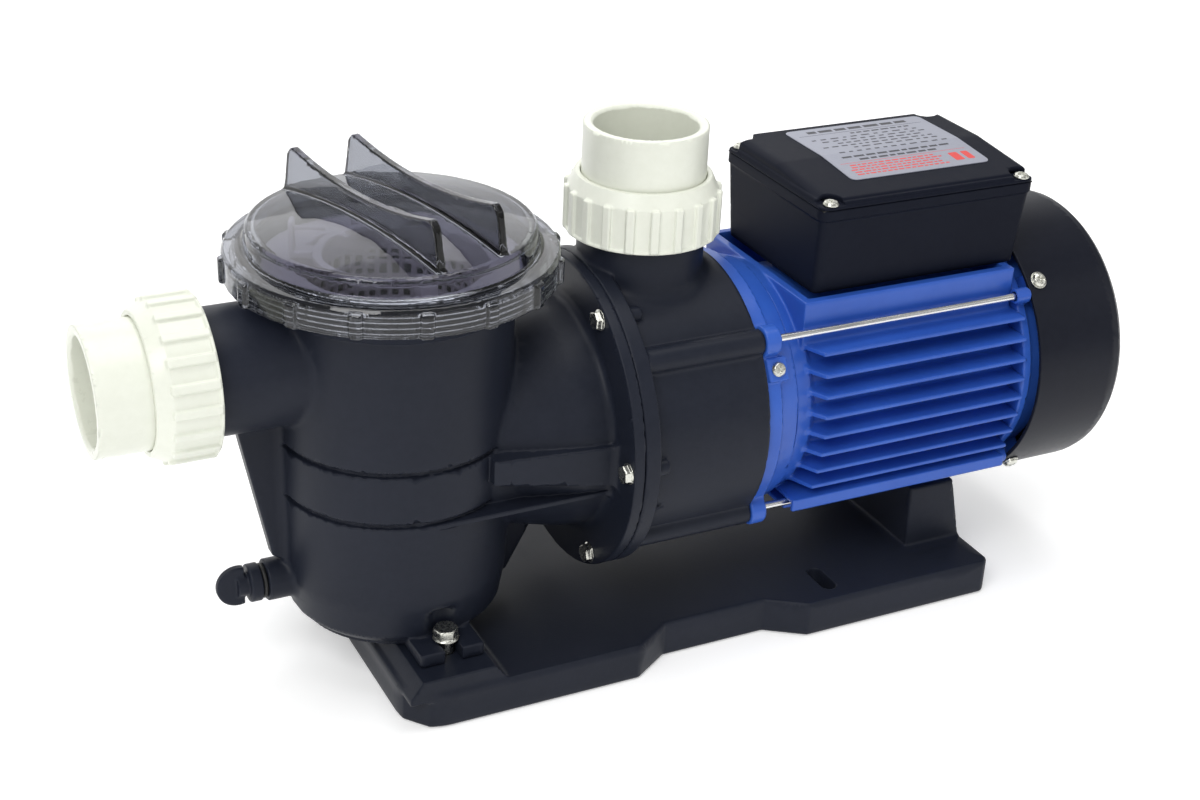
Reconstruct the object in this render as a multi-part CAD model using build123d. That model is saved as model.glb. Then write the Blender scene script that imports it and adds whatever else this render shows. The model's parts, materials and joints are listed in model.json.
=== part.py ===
from build123d import *
import math
import os

# Self-priming pool pump: strainer pot, centrifugal wet end and a finned
# close-coupled motor, tied together on a moulded base.
#
# Working frame (millimetres): X runs along the shaft from the strainer towards
# the fan, Y is across the pump, Z is up.  The model is drawn about the
# crossing of the strainer axis and the shaft axis, then every piece is moved so
# that the origin sits on the floor under the middle of the whole pump.

# ------------------------------------------------------------------ dimensions
SHAFT_H = 114.0           # shaft centre above the floor
X_MIN = -144.0            # suction tail mouth
X_MAX = 383.0             # fan cover end
POT_X = -(X_MIN + X_MAX) / 2.0   # strainer axis in the finished frame

# unions (both ends alike)
TAIL_R = 30.0             # solvent socket outside radius
SOCKET_R = 25.1           # takes a 50 mm pipe
SOCKET_LEN = 31.0
UN_END = 144.0            # tail mouth, from the strainer/shaft axis
UN_FACE = 106.0           # sealing face of the threaded neck
UN_NUT0, UN_NUT1 = 91.2, 119.8
NUT_R, NUT_GRIP_R, NUT_TOP_R = 36.4, 38.4, 33.0
NECK_THREAD_R = 33.0
NUT_PITCH = 3.2
SUCTION_Z = 50.9
DISCH_X = 127.6

# strainer pot
POT_R = 56.4
POT_BOT = -84.0
COLLAR_R = 70.5
COLLAR_TOP = 96.5
CAVITY_R = 51.5
BELT_R = 56.5
BELT_GROOVES = ((9.1, 11.7), (-17.5, -15.0))

# lid
LID_R = 76.9
LID_LUG_R = 78.9
LID_Z0 = 87.9
LID_TOP = 102.2
DOME_R = 64.6              # crown of the dome, inside its rounded edge
DOME_EDGE_Z = 111.4
DOME_RISE = 6.6
LID_LUGS = 16
LID_LUG_TURN = 12.7
FIN_ANGLE = -76.0         # direction in which the two grip fins run
FIN_HALF_GAP = 16.8
FIN_TIP_Z = 133.8
FIN_MID_Z = 127.4

# wet end
FL_X0, FL_X1, FL_X2 = 89.1, 95.0, 103.0
FL_R = 79.4
BOLT_R = 73.0
CASE_R = 71.8
CASE_IN = 66.0
CASE_X1 = 166.5
EYE_R = 22.0

# motor
BR_X0, BR_X1, BR_X2 = 166.8, 181.0, 187.0
BR_R = 68.9
ROD_Y, ROD_Z, ROD_R = 54.2, 46.7, 2.4
CORE_R, CORE_IN = 56.0, 50.3
HOUS_X0, HOUS_X1 = 187.3, 321.0
FIN_X0 = 200.0
FIN_Z = (37.0, 26.5, 16.0, 5.5, -5.0, -15.5, -26.0, -36.5, -51.2)
FIN_T = 2.4
COV_X0, COV_X1, COV_R, COV_T = 326.4, 383.0, 74.2, 2.0
SEAT_Z = 60.5

# base
BASE_X0, BASE_X1 = -22.0, 308.0
BASE_Y = 79.0
BASE_BOT, BASE_TOP = -114.0, -95.0
PLAT_TOP = -87.0
SLOT_X, SLOT_Y, SLOT_W, SLOT_L = 214.0, 59.5, 8.0, 21.0
FOOT_BOLT_X, FOOT_BOLT_Y = 4.5, 56.0
SADDLE_TOP = -60.6

parts = {}


# ------------------------------------------------------------------ helpers
def box(x0, x1, y0, y1, z0, z1):
    return Pos((x0 + x1) / 2, (y0 + y1) / 2, (z0 + z1) / 2) * Box(x1 - x0, y1 - y0, z1 - z0)


def cyl_x(r, x0, x1, y=0.0, z=0.0):
    return Pos((x0 + x1) / 2, y, z) * Rot(0, 90, 0) * Cylinder(r, x1 - x0)


def cyl_y(r, y0, y1, x=0.0, z=0.0):
    return Pos(x, (y0 + y1) / 2, z) * Rot(90, 0, 0) * Cylinder(r, y1 - y0)


def cyl_z(r, z0, z1, x=0.0, y=0.0):
    return Pos(x, y, (z0 + z1) / 2) * Cylinder(r, z1 - z0)


def rev_x(pts):
    """Turn a closed outline of (x, radius) points about the X axis."""
    f = make_face(Polyline([(p[0], 0, p[1]) for p in pts], close=True))
    return revolve(f, Axis.X, 360)


def rev_z(pts):
    """Turn a closed outline of (radius, z) points about the Z axis."""
    f = make_face(Polyline([(p[0], 0, p[1]) for p in pts], close=True))
    return revolve(f, Axis.Z, 360)


def ring_x(r0, r1, x0, x1, y=0.0, z=0.0):
    return cyl_x(r1, x0, x1, y, z) - cyl_x(r0, x0 - 1, x1 + 1, y, z)


def ring_z(r0, r1, z0, z1, x=0.0, y=0.0):
    return cyl_z(r1, z0, z1, x, y) - cyl_z(r0, z0 - 1, z1 + 1, x, y)


def torus_z(r, s, z, x=0.0, y=0.0):
    return Pos(x, y, z) * Torus(r, s)


def torus_x(r, s, x, y=0.0, z=0.0):
    return Pos(x, y, z) * Rot(0, 90, 0) * Torus(r, s)


def slab_y(pts, y0, y1):
    """Extrude a closed outline of (x, z) points along Y."""
    f = make_face(Polyline([(p[0], y0, p[1]) for p in pts], close=True))
    return extrude(f, amount=y1 - y0, dir=(0, 1, 0))


def slab_x(pts, x0, x1):
    """Extrude a closed outline of (y, z) points along X."""
    f = make_face(Polyline([(x0, p[0], p[1]) for p in pts], close=True))
    return extrude(f, amount=x1 - x0, dir=(1, 0, 0))


def slab_z(pts, z0, z1):
    """Extrude a closed outline of (x, y) points along Z."""
    f = make_face(Polyline([(p[0], p[1], z0) for p in pts], close=True))
    return extrude(f, amount=z1 - z0, dir=(0, 0, 1))


def hexagon(af, h):
    """Hexagonal prism of across-flats af, standing on the XY plane."""
    return extrude(RegularPolygon(af / 2, 6, major_radius=False), amount=h, dir=(0, 0, 1))


def about_x(angle, shape):
    return Rot(angle, 0, 0) * shape


def join(items):
    out = items[0]
    for it in items[1:]:
        out = out + it
    return out


# ------------------------------------------------------------------ unions
def union_neck(s):
    """Threaded neck end along +Z, up to the sealing face, o-ring groove cut."""
    n = cyl_z(NECK_THREAD_R, 94.0, UN_FACE)
    for i in range(3):
        z = 95.6 + NUT_PITCH * i
        n -= ring_z(31.9, 34.0, z, z + 1.5)
    n -= ring_z(25.6, 29.4, UN_FACE - 2.6, UN_FACE + 1)
    return n


def union_tail():
    t = rev_z([(22.5, UN_FACE + 0.3), (32.4, UN_FACE + 0.3), (32.4, UN_FACE + 4.8),
               (TAIL_R, UN_FACE + 4.8), (TAIL_R, UN_END - 0.8), (TAIL_R - 0.8, UN_END),
               (SOCKET_R + 1.0, UN_END), (SOCKET_R, UN_END - 1.0),
               (SOCKET_R, UN_END - SOCKET_LEN), (22.5, UN_END - SOCKET_LEN)])
    return t


def union_nut():
    n = rev_z([(33.4, UN_NUT0), (NUT_R + 0.9, UN_NUT0), (NUT_R + 0.9, UN_NUT0 + 1.2),
               (NUT_R, UN_NUT0 + 2.0), (NUT_R, 112.6), (NUT_TOP_R, UN_NUT1),
               (30.4, UN_NUT1), (30.4, 111.2), (33.4, 111.2)])
    grips = []
    for i in range(20):
        g = Rot(0, 0, 18 * i) * box(NUT_R - 1.5, NUT_GRIP_R, -2.0, 2.0, UN_NUT0 + 0.6, 113.0)
        grips.append(g)
    return join([n] + grips)


def union_ring():
    return torus_z(27.5, 1.3, UN_FACE - 1.15)


DISCH = Pos(DISCH_X, 0, 0)
SUCT = Pos(0, 0, SUCTION_Z) * Rot(0, -90, 0)      # local +Z becomes -X

parts["discharge_tail"] = DISCH * union_tail()
parts["discharge_nut"] = DISCH * union_nut()
parts["discharge_o_ring"] = DISCH * union_ring()
parts["suction_tail"] = SUCT * union_tail()
parts["suction_nut"] = SUCT * union_nut()
parts["suction_o_ring"] = SUCT * union_ring()

# ------------------------------------------------------------------ strainer housing
pot = rev_z([(0, POT_BOT), (47.5, POT_BOT), (52.0, -79.5), (54.8, -62), (56.0, -20), (POT_R, -14), (POT_R, 76.2),
             (68, 84.4), (COLLAR_R, 86.2), (COLLAR_R, COLLAR_TOP), (0, COLLAR_TOP)])
cone = rev_x([(0, 0), (0, 38), (30, 45), (55, 52.5), (75, 58), (90, 60.6), (90, 0)])
# two grooves make the belt; beside the cone it is a strip, a recess and a ledge
for z0, z1 in BELT_GROOVES:
    pot -= ring_z(POT_R - 1.3, POT_R + 2, z0, z1)
belt = box(0, 92, 2.3 - BELT_R, BELT_R - 2.3, -8.5, 9.0) + box(0, 92, -50.5, 50.5, -18.0, -8.0)
belt += box(0, 90, -BELT_R, BELT_R, -20.0, -17.5)
flange = cyl_x(FL_R, FL_X0, FL_X1)
neck_s = cyl_z(29.6, 30, 94.2) + union_neck(0)
web = slab_y([(-89, 27), (-77, 20), (-62.5, -49), (-45, -60), (-45, 30)], -4, 4)
boss = cyl_x(10.2, -66.1, -44, 0, -63.5)
gusset = slab_y([(40, -40), (78, -40), (70, -62), (58, -84), (40, -84)], -5, 5)
sh = pot + cone + belt + flange + SUCT * neck_s + web + boss + gusset
# flange feet with open bolt slots
for sgn in (-1, 1):
    y0, y1 = sorted((sgn * 40, sgn * 67))
    sh += box(-12.0, 20.0, y0, y1, PLAT_TOP + 0.2, -80.0)
sh += cyl_z(46.0, PLAT_TOP + 0.2, POT_BOT + 1)
for sgn in (-1, 1):
    sh -= cyl_z(4.2, PLAT_TOP - 1, -78, FOOT_BOLT_X, sgn * FOOT_BOLT_Y)
    y0, y1 = sorted((sgn * FOOT_BOLT_Y, sgn * 70))
    sh -= box(FOOT_BOLT_X - 4.2, FOOT_BOLT_X + 4.2, y0, y1, PLAT_TOP - 1, -78)
    sh -= cyl_z(7.9, -80.0, -66.0, FOOT_BOLT_X, sgn * FOOT_BOLT_Y)
# pot cavity with the sloping basket seat
sh -= rev_z([(0, -79), (40, -79), (45, -75), (46.4, -64), (CAVITY_R, -52), (CAVITY_R, 80.0), (62.4, 88.2),
             (62.4, COLLAR_TOP + 1), (0, COLLAR_TOP + 1)])
# suction passage, eye passage and the front half of the wet chamber
sh -= SUCT * cyl_z(EYE_R + 0.5, 20, UN_FACE + 1)
sh -= cyl_x(EYE_R, 20, FL_X1 + 1)
sh -= rev_x([(58, 26), (58, 46), (76, 52), (90, 55), (FL_X1 + 1, 57.5), (FL_X1 + 1, 26)])
# o-ring groove and bolt holes in the flange
sh -= rev_x([(92.0, 62.2), (92.0, 65.8), (FL_X1 + 1, 65.8), (FL_X1 + 1, 62.2)])
for k in range(6):
    sh -= about_x(60 * k, cyl_x(3.3, FL_X0 - 3, FL_X1 + 1, BOLT_R, 0))
# drain hole
sh -= cyl_x(6.3, -70, -42, 0, -63.5)
# lid thread lines on the collar
for z in (88.4, 91.0, 93.6):
    sh -= ring_z(COLLAR_R - 0.9, COLLAR_R + 2, z, z + 1.2)
parts["strainer_housing"] = sh

# ------------------------------------------------------------------ lid and basket
dome_pts = [(DOME_R, DOME_EDGE_Z)]
for i in range(1, 9):
    r = DOME_R * (1 - i / 8)
    dome_pts.append((r, DOME_EDGE_Z + DOME_RISE * (1 - (r / DOME_R) ** 2)))
inner = []
for i in range(0, 9):
    r = (DOME_R - 3.4) * i / 8
    inner.append((r, DOME_EDGE_Z - 3.2 + DOME_RISE * (1 - (r / DOME_R) ** 2)))
lid = rev_z([(COLLAR_R + 0.7, LID_Z0), (LID_R, LID_Z0), (LID_R, 99.0), (75.5, 101.0), (68.6, LID_TOP),
             (67.4, LID_TOP + 1.0), (66.0, DOME_EDGE_Z - 1.4)]
            + dome_pts + inner + [(DOME_R - 2.0, DOME_EDGE_Z - 3.8), (DOME_R - 1.2, 100.2), (COLLAR_R + 0.7, 100.2)])
for k in range(LID_LUGS):
    lid += Rot(0, 0, LID_LUG_TURN + 360 / LID_LUGS * k) * box(LID_R - 1.2, LID_LUG_R, -3.2, 3.2, LID_Z0 - 0.4, 100.4)


def lid_fin():
    """Upright grip fin along X: tall ends, slightly dished top edge, foot sunk into the dome."""
    with BuildPart() as bp:
        with BuildSketch(Plane.XZ.offset(2.4)):
            with BuildLine():
                a = (-61.5, DOME_EDGE_Z - 0.8)
                b = (-57.5, FIN_TIP_Z - 2.5)
                c = (-54.5, FIN_TIP_Z)
                d = (54.5, FIN_TIP_Z)
                e = (57.5, FIN_TIP_Z - 2.5)
                f = (61.5, DOME_EDGE_Z - 0.8)
                Polyline(a, b, c)
                ThreePointArc(c, (0, FIN_MID_Z), d)
                Polyline(d, e, f)
                Polyline(f, (55, DOME_EDGE_Z - 0.2), (40, DOME_EDGE_Z + 1.9), (20, DOME_EDGE_Z + 3.8),
                         (-20, DOME_EDGE_Z + 3.8), (-40, DOME_EDGE_Z + 1.9), (-55, DOME_EDGE_Z - 0.2), a)
            make_face()
        extrude(amount=-4.8)
    return bp.part


for sgn in (-1, 1):
    lid += Rot(0, 0, FIN_ANGLE) * Pos(0, sgn * FIN_HALF_GAP, 0) * lid_fin()
parts["lid"] = lid
parts["lid_o_ring"] = torus_z(66.6, 1.7, COLLAR_TOP + 1.85)

basket = rev_z([(46.2, 88.5), (61.8, 88.5), (61.8, 91.0), (46.2, 91.0), (46.2, 91.0)][:4])
bwall = rev_z([(41.0, -70), (43.2, -70), (46.6, 88.6), (46.6, 91.0), (44.4, 91.0), (44.0, 80)])
bfloor = cyl_z(42.5, -71.0, -68.5)
for i in range(24):
    for z0, z1 in ((-62, -18), (-12, 32), (38, 80)):
        bwall -= Rot(0, 0, 15 * i) * box(38, 50, -1.5, 1.5, z0, z1)
for i in range(8):
    bfloor -= Rot(0, 0, 45 * i) * box(10, 36, -2.5, 2.5, -73, -66)
lugs = box(-4, 4, -45.5, -36.5, 88.6, 97.5) + box(-4, 4, 36.5, 45.5, 88.6, 97.5)
lugs -= cyl_y(2.15, -41.5, -30, 0, 94.0) + cyl_y(2.15, 30, 41.5, 0, 94.0)
parts["strainer_basket"] = basket + bwall + bfloor + lugs

# swinging handle, lying towards the suction side at rest
h_out = cyl_z(35.9, 92.2, 95.8) - cyl_z(31.4, 90, 98)
h_out = h_out & box(-40, 0, -40, 40, 90, 98)
h_out += box(-0.5, 3.0, -35.9, -31.4, 92.2, 95.8) + box(-0.5, 3.0, 31.4, 35.9, 92.2, 95.8)
h_out += cyl_y(2.1, -40.9, -33, 0, 94.0) + cyl_y(2.1, 33, 40.9, 0, 94.0)
h_out += Rot(0, 0, 155) * box(33.5, 46.5, -3.8, 3.8, 92.2, 95.6)      # arm and upright catch
h_out += Rot(0, 0, 155) * box(43.9, 46.5, -3.8, 3.8, 92.2, 109.0)
h_out += Rot(0, 0, 155) * box(30.0, 45.0, -0.8, 0.8, 104.4, 106.0)
parts["basket_handle"] = h_out

# ------------------------------------------------------------------ drain plug
wing = cyl_y(10.4, -2.2, 2.2, 0, 0)
wing = Pos(-79.5, 0, -63.5) * (wing & box(-8.5, 3.0, -3, 3, -11, 11))
plug = cyl_x(6.0, -68.7, -57.0, 0, -63.5) + cyl_x(9.3, -74.5, -68.7, 0, -63.5) + wing \
    + cyl_x(5.5, -79, -74, 0, -63.5)
parts["drain_plug"] = plug
parts["drain_plug_o_ring"] = torus_x(7.45, 1.1, -67.4, 0, -63.5)

# ------------------------------------------------------------------ pump casing
casing = cyl_x(FL_R, FL_X1, FL_X2) + cyl_x(CASE_R, FL_X2 - 1, CASE_X1)
casing += DISCH * (cyl_z(31.0, 40, 94.5) + union_neck(0))
for sy in (-1, 1):
    for sz in (-1, 1):
        casing += cyl_x(6.4, FL_X2 - 1, CASE_X1, sy * ROD_Y, sz * ROD_Z)
for k in range(6):
    casing += about_x(60 * k, cyl_x(4.0, FL_X2 - 1, 109.5, BOLT_R, 0))
casing -= rev_x([(FL_X1 - 1, 0), (FL_X1 - 1, CASE_IN - 6), (FL_X1 + 6, CASE_IN), (149.5, CASE_IN), (149.5, 0)])
casing -= cyl_x(CASE_IN, 155.5, CASE_X1 + 1)
casing -= cyl_x(17.5, 148, 157)
casing -= DISCH * cyl_z(EYE_R + 0.5, 50, UN_FACE + 1)
for sy in (-1, 1):
    for sz in (-1, 1):
        casing -= cyl_x(ROD_R, 128, CASE_X1 + 1, sy * ROD_Y, sz * ROD_Z)
for k in range(6):
    casing -= about_x(60 * k, cyl_x(3.0, FL_X1 - 1, 106.5, BOLT_R, 0))
# weep slot under the dry side of the seal wall
casing -= box(158, 163, -8, 8, -CASE_R - 2, -60)
parts["pump_casing"] = casing
parts["casing_o_ring"] = torus_x(64.0, 1.35, 93.5)


def flange_bolt():
    """Hex flange screw along +X, head towards -X, seat at the origin."""
    b = Rot(0, -90, 0) * (cyl_z(5.6, 0, 1.3) + Pos(0, 0, 1.3) * hexagon(8.0, 4.0))
    return b + cyl_x(3.0, 0, 17.0)


parts["flange_bolts"] = Compound(children=[about_x(60 * k, Pos(FL_X0, BOLT_R, 0) * flange_bolt()) for k in range(6)])

# ------------------------------------------------------------------ diffuser and impeller
diff = ring_x(24.8, 61.4, 97.0, 100.0) + ring_x(58.0, 64.5, 126.0, 129.0)
for k in range(9):
    diff += about_x(40 * k, Pos(0, 59.6, 0) * Rot(28, 0, 0) * box(99.5, 126.5, -4.6, 4.6, -1.3, 1.3))
parts["diffuser"] = diff

imp = ring_x(20.5, 54.0, 102.0, 104.5) + ring_x(20.5, 23.6, 98.5, 103) + cyl_x(54.0, 118.0, 121.0)
imp += cyl_x(13.0, 103.0, 131.8)
for k in range(6):
    imp += about_x(60 * k, Pos(0, 33.0, 0) * Rot(38, 0, 0) * box(104.0, 118.5, -21.0, 21.0, -1.4, 1.4)) \
        & (cyl_x(54.0, 100, 125))
imp -= cyl_x(7.0, 106.0, 133)
parts["impeller"] = imp

parts["seal_head"] = rev_x([(132.0, 8.0), (132.0, 13.5), (136.0, 14.8), (142.0, 14.8), (142.0, 13.2),
                            (148.9, 13.2), (148.9, 9.0), (146.0, 9.0), (146.0, 8.0)])
parts["seal_seat"] = rev_x([(149.1, 9.6), (149.1, 17.5), (155.2, 17.5), (155.2, 9.6)])

# ------------------------------------------------------------------ shaft line
parts["shaft"] = rev_x([(106.0, 0), (106.0, 7.0), (132.0, 7.0), (132.0, 8.0), (176.0, 8.0), (176.0, 8.5),
                        (188.0, 8.5), (188.0, 11.0), (302.0, 11.0), (302.0, 9.0), (322.0, 9.0),
                        (322.0, 7.5), (333.0, 7.5), (333.0, 7.0), (363.0, 7.0), (364.0, 6.0), (364.0, 0)])
parts["slinger"] = rev_x([(158.5, 8.0), (158.5, 12.0), (160.0, 16.0), (161.5, 16.0), (163.5, 11.0), (163.5, 8.0)])
parts["front_bearing_inner_ring"] = ring_x(8.5, 10.85, 176.0, 188.0)
parts["front_bearing_outer_ring"] = ring_x(17.65, 20.0, 176.0, 188.0)
parts["rear_bearing_inner_ring"] = ring_x(7.5, 9.5, 322.0, 333.0)
parts["rear_bearing_outer_ring"] = ring_x(15.5, 17.5, 322.0, 333.0)


def ball_set(pitch_r, ball_r, n, xc, half):
    s = ring_x(pitch_r - 0.9, pitch_r + 0.9, xc - half, xc + half)
    for k in range(n):
        a = 2 * math.pi * k / n
        s += Pos(xc, pitch_r * math.cos(a), pitch_r * math.sin(a)) * Sphere(ball_r)
    return s


parts["front_bearing_balls"] = ball_set(14.25, 3.37, 8, 182.0, 3.9)
parts["rear_bearing_balls"] = ball_set(12.5, 2.97, 8, 327.5, 3.5)
parts["wave_washer"] = ring_x(14.0, 17.3, 333.2, 334.2)
parts["rotor_core"] = ring_x(11.0, 30.0, 216.0, 300.0) + ring_x(18.0, 28.5, 209.0, 216.5) + ring_x(18.0, 28.5, 299.5, 306.0)
stator = ring_x(30.5, CORE_IN, 216.0, 300.0)
parts["stator_core"] = stator
parts["stator_windings"] = Compound(children=[
    rev_x([(203.0, 34.5), (203.0, 45.0), (206.0, 47.5), (215.9, 47.5), (215.9, 33.0), (206.0, 33.0)]),
    rev_x([(300.1, 33.0), (300.1, 47.5), (309.0, 47.5), (312.0, 45.0), (312.0, 34.5), (309.0, 33.0)])])

# ------------------------------------------------------------------ motor front bracket
br = rev_x([(BR_X0, 58.0), (BR_X0, BR_R), (BR_X1, BR_R), (BR_X1, 65.6), (BR_X2, 63.0), (BR_X2, 57.0), (176.0, 57.0),
            (176.0, 58.0)])
br += rev_x([(161.0, 60.0), (161.0, CASE_IN), (BR_X0 + 1, CASE_IN), (BR_X0 + 1, 60.0)])
br += rev_x([(170.0, 12.0), (170.0, 61.0), (175.0, 61.0), (176.0, 26.0), (188.0, 25.0), (188.0, 20.0),
             (176.0, 20.0), (176.0, 12.0)])
for sy in (-1, 1):
    for sz in (-1, 1):
        br += cyl_x(7.4, BR_X0, 178.0, sy * ROD_Y, sz * ROD_Z)
br += about_x(-28.9, box(168.3, 179.5, -BR_R - 1.4, -BR_R + 4, -5.8, 5.8))
for k in range(3):
    br += about_x(120 * k, box(175.0, 186.0, 24.0, 60.0, -2.0, 2.0))
for sy in (-1, 1):
    for sz in (-1, 1):
        br -= cyl_x(ROD_R, 160, 180, sy * ROD_Y, sz * ROD_Z)
br -= about_x(-28.9, cyl_y(2.0, -BR_R - 3, -BR_R + 9, 173.9, 0))
parts["motor_bracket"] = br
parts["earth_screw"] = about_x(-28.9, cyl_y(2.0, -BR_R - 1.4, -BR_R + 7, 173.9, 0)
                               + (cyl_y(3.8, -BR_R - 4.0, -BR_R - 1.4, 173.9, 0) - box(169, 178, -BR_R - 5, -BR_R - 3, -0.6, 0.6)))

# ------------------------------------------------------------------ motor housing
hs = rev_x([(HOUS_X0, 50.3), (HOUS_X0, 62.6), (202.6, CORE_R), (HOUS_X1, CORE_R), (HOUS_X1, 50.3)])
for z in FIN_Z:
    tip = 69.0 - 0.0051 * z * z if z > -50 else 52.0
    yin = math.sqrt(max(54.0 ** 2 - z * z, 4.0))
    for s in (-1, 1):
        pts = [(FIN_X0 - 9, s * yin), (FIN_X0, s * tip), (HOUS_X1, s * tip), (HOUS_X1, s * yin)]
        if z < -50:
            pts = [(FIN_X0 - 9, s * 15.0), (FIN_X0 - 9, s * tip), (HOUS_X1, s * tip), (HOUS_X1, s * 15.0)]
        hs += slab_z(pts, z - FIN_T / 2, z + FIN_T / 2)
for y in (-30, -20, -10, 0, 10, 20, 30):
    zi = -math.sqrt(54.0 ** 2 - y * y)
    hs += box(FIN_X0, HOUS_X1, y - 1.2, y + 1.2, -60.4, zi)
# terminal box seat: a raised rectangular frame with a sloping front fairing
seat = box(194.0, 319.5, -49.5, 49.5, 36.0, SEAT_Z) + slab_y([(188.0, 40), (188.0, 55.5), (194.5, SEAT_Z), (194.5, 40)], -46, 46)
seat -= box(198.5, 315.0, -45.0, 45.0, 30.0, SEAT_Z + 1)
seat -= cyl_x(CORE_R - 1.5, 180, 330)
hs += seat
# foot pad that stands on the base saddle
hs += box(276.0, 300.0, -40.0, 40.0, -60.4, -48.0) - cyl_x(CORE_R - 1.0, 270, 305)
hs -= cyl_x(CORE_IN, 180, 330)
# wire hole into the terminal box
hs -= cyl_z(8.0, 45, 62, 300.0, 12.0)
for s in (-1, 1):
    hs -= cyl_z(2.5, -62, -52, 288.0, s * 25.0)
parts["motor_housing"] = hs

# ------------------------------------------------------------------ rear end shield
rs = rev_x([(HOUS_X1, 45.0), (HOUS_X1, 67.0), (326.0, 67.0), (326.0, 64.0), (338.0, 64.0), (338.0, 60.0),
            (326.0, 58.0), (326.0, 45.0)])
rs += rev_x([(322.0, 17.5), (322.0, 23.0), (324.0, 46.0), (326.0, 46.0), (328.0, 23.0), (337.0, 22.0),
             (337.0, 9.5), (334.4, 9.5), (334.4, 17.5)])
for sy in (-1, 1):
    for sz in (-1, 1):
        rs += cyl_x(3.9, 317.5, 326.0, sy * ROD_Y, sz * ROD_Z)
        a = math.degrees(math.atan2(sz * ROD_Z, sy * ROD_Y))
        rs += about_x(a, box(321.0, 326.0, 58.0, 71.0, -3.9, 3.9))
for a in (45, 135, 225, 315):
    rs += about_x(a, box(328.0, 337.5, 58.5, COV_R - COV_T - 0.5, -6.0, 6.0))
    rs -= about_x(a, cyl_y(2.0, 60.0, 76.0, 333.0, 0))
for sy in (-1, 1):
    for sz in (-1, 1):
        rs -= cyl_x(ROD_R, 316, 324, sy * ROD_Y, sz * ROD_Z)
rs -= box(316.0, 326.2, -50.0, 50.0, SEAT_Z - 0.4, 80.0)
parts["rear_end_shield"] = rs

parts["tie_rods"] = Compound(children=[cyl_x(ROD_R, 128.2, 323.8, sy * ROD_Y, sz * ROD_Z) for sy in (-1, 1) for sz in (-1, 1)])

# ------------------------------------------------------------------ cooling fan and cover
fan = ring_x(7.0, 13.0, 339.5, 362.0) + ring_x(12.5, 56.0, 340.0, 342.0)
for k in range(8):
    fan += about_x(45 * k, box(341.5, 360.0, 12.5, 62.0, -1.1, 1.1))
parts["cooling_fan"] = fan

cv = rev_x([(COV_X0, COV_R - COV_T), (COV_X0, COV_R), (374.0, COV_R), (379.5, 71.8), (382.0, 68.5), (COV_X1, 64.5),
            (COV_X1, 0), (COV_X1 - COV_T, 0), (COV_X1 - COV_T, 64.0), (380.3, 67.2), (378.0, 70.2), (373.6, COV_R - COV_T)])
for k in range(24):
    cv -= about_x(15 * k, box(379.0, 385.0, 24.0 if k % 2 else 18.0, 60.0, -1.7, 1.7))
for a in (45, 135, 225, 315):
    cv -= about_x(a, cyl_y(2.2, 70.0, 77.0, 333.0, 0))
parts["fan_cover"] = cv


def cover_screw():
    s = cyl_y(2.0, 61.0, COV_R + 1.2, 333.0, 0) + cyl_y(4.6, COV_R, COV_R + 2.6, 333.0, 0)
    s -= box(332.6, 333.4, COV_R + 1.6, COV_R + 4, -2.5, 2.5) + box(330.5, 335.5, COV_R + 1.6, COV_R + 4, -0.4, 0.4)
    return s


parts["fan_cover_screws"] = Compound(children=[about_x(a, cover_screw()) for a in (45, 135, 225, 315)])

# ------------------------------------------------------------------ terminal box
TB_X0, TB_X1 = 200.5, 326.0


def frustum(x0, x1, hy, z0, z1, dx, dy):
    """Drafted rectangular block: smaller by dx, dy each side at the bottom."""
    a = make_face(Polyline([(x0 + dx, -hy + dy, z0), (x1 - dx, -hy + dy, z0), (x1 - dx, hy - dy, z0), (x0 + dx, hy - dy, z0)], close=True))
    b = make_face(Polyline([(x0, -hy, z1), (x1, -hy, z1), (x1, hy, z1), (x0, hy, z1)], close=True))
    return loft([a, b])


tb = frustum(TB_X0 + 0.8, TB_X1 - 0.8, 46.0, SEAT_Z, 102.0, 1.4, 4.2) + box(TB_X0, TB_X1, -47.0, 47.0, 101.5, 105.0)
tb -= frustum(TB_X0 + 4.0, TB_X1 - 4.0, 42.8, SEAT_Z + 3.0, 105.5, 1.4, 4.2)
for x in (207.0, 320.0):
    for y in (-43.0, 43.0):
        tb += cyl_z(4.5, 85.0, 105.0, x, y) & box(TB_X0 + 2.5, TB_X1 - 2.5, -45, 45, 80, 105)
        tb -= cyl_z(1.8, 88.0, 106.0, x, y)
tb -= cyl_z(8.0, 55, 66, 300.0, 12.0)
tb -= cyl_y(8.0, 35.0, 50.0, 296.0, 86.0)
parts["terminal_box"] = tb
gk = box(TB_X0 + 1.0, TB_X1 - 1.0, -46.0, 46.0, 105.0, 105.7) - box(TB_X0 + 4.2, TB_X1 - 4.2, -42.5, 42.5, 104.5, 106.5)
for x in (207.0, 320.0):
    for y in (-43.0, 43.0):
        gk += cyl_z(4.5, 105.0, 105.7, x, y) & box(TB_X0 + 2.5, TB_X1 - 2.5, -45, 45, 104, 107)
        gk -= cyl_z(1.8, 104.0, 107.0, x, y)
parts["terminal_box_gasket"] = gk

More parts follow.
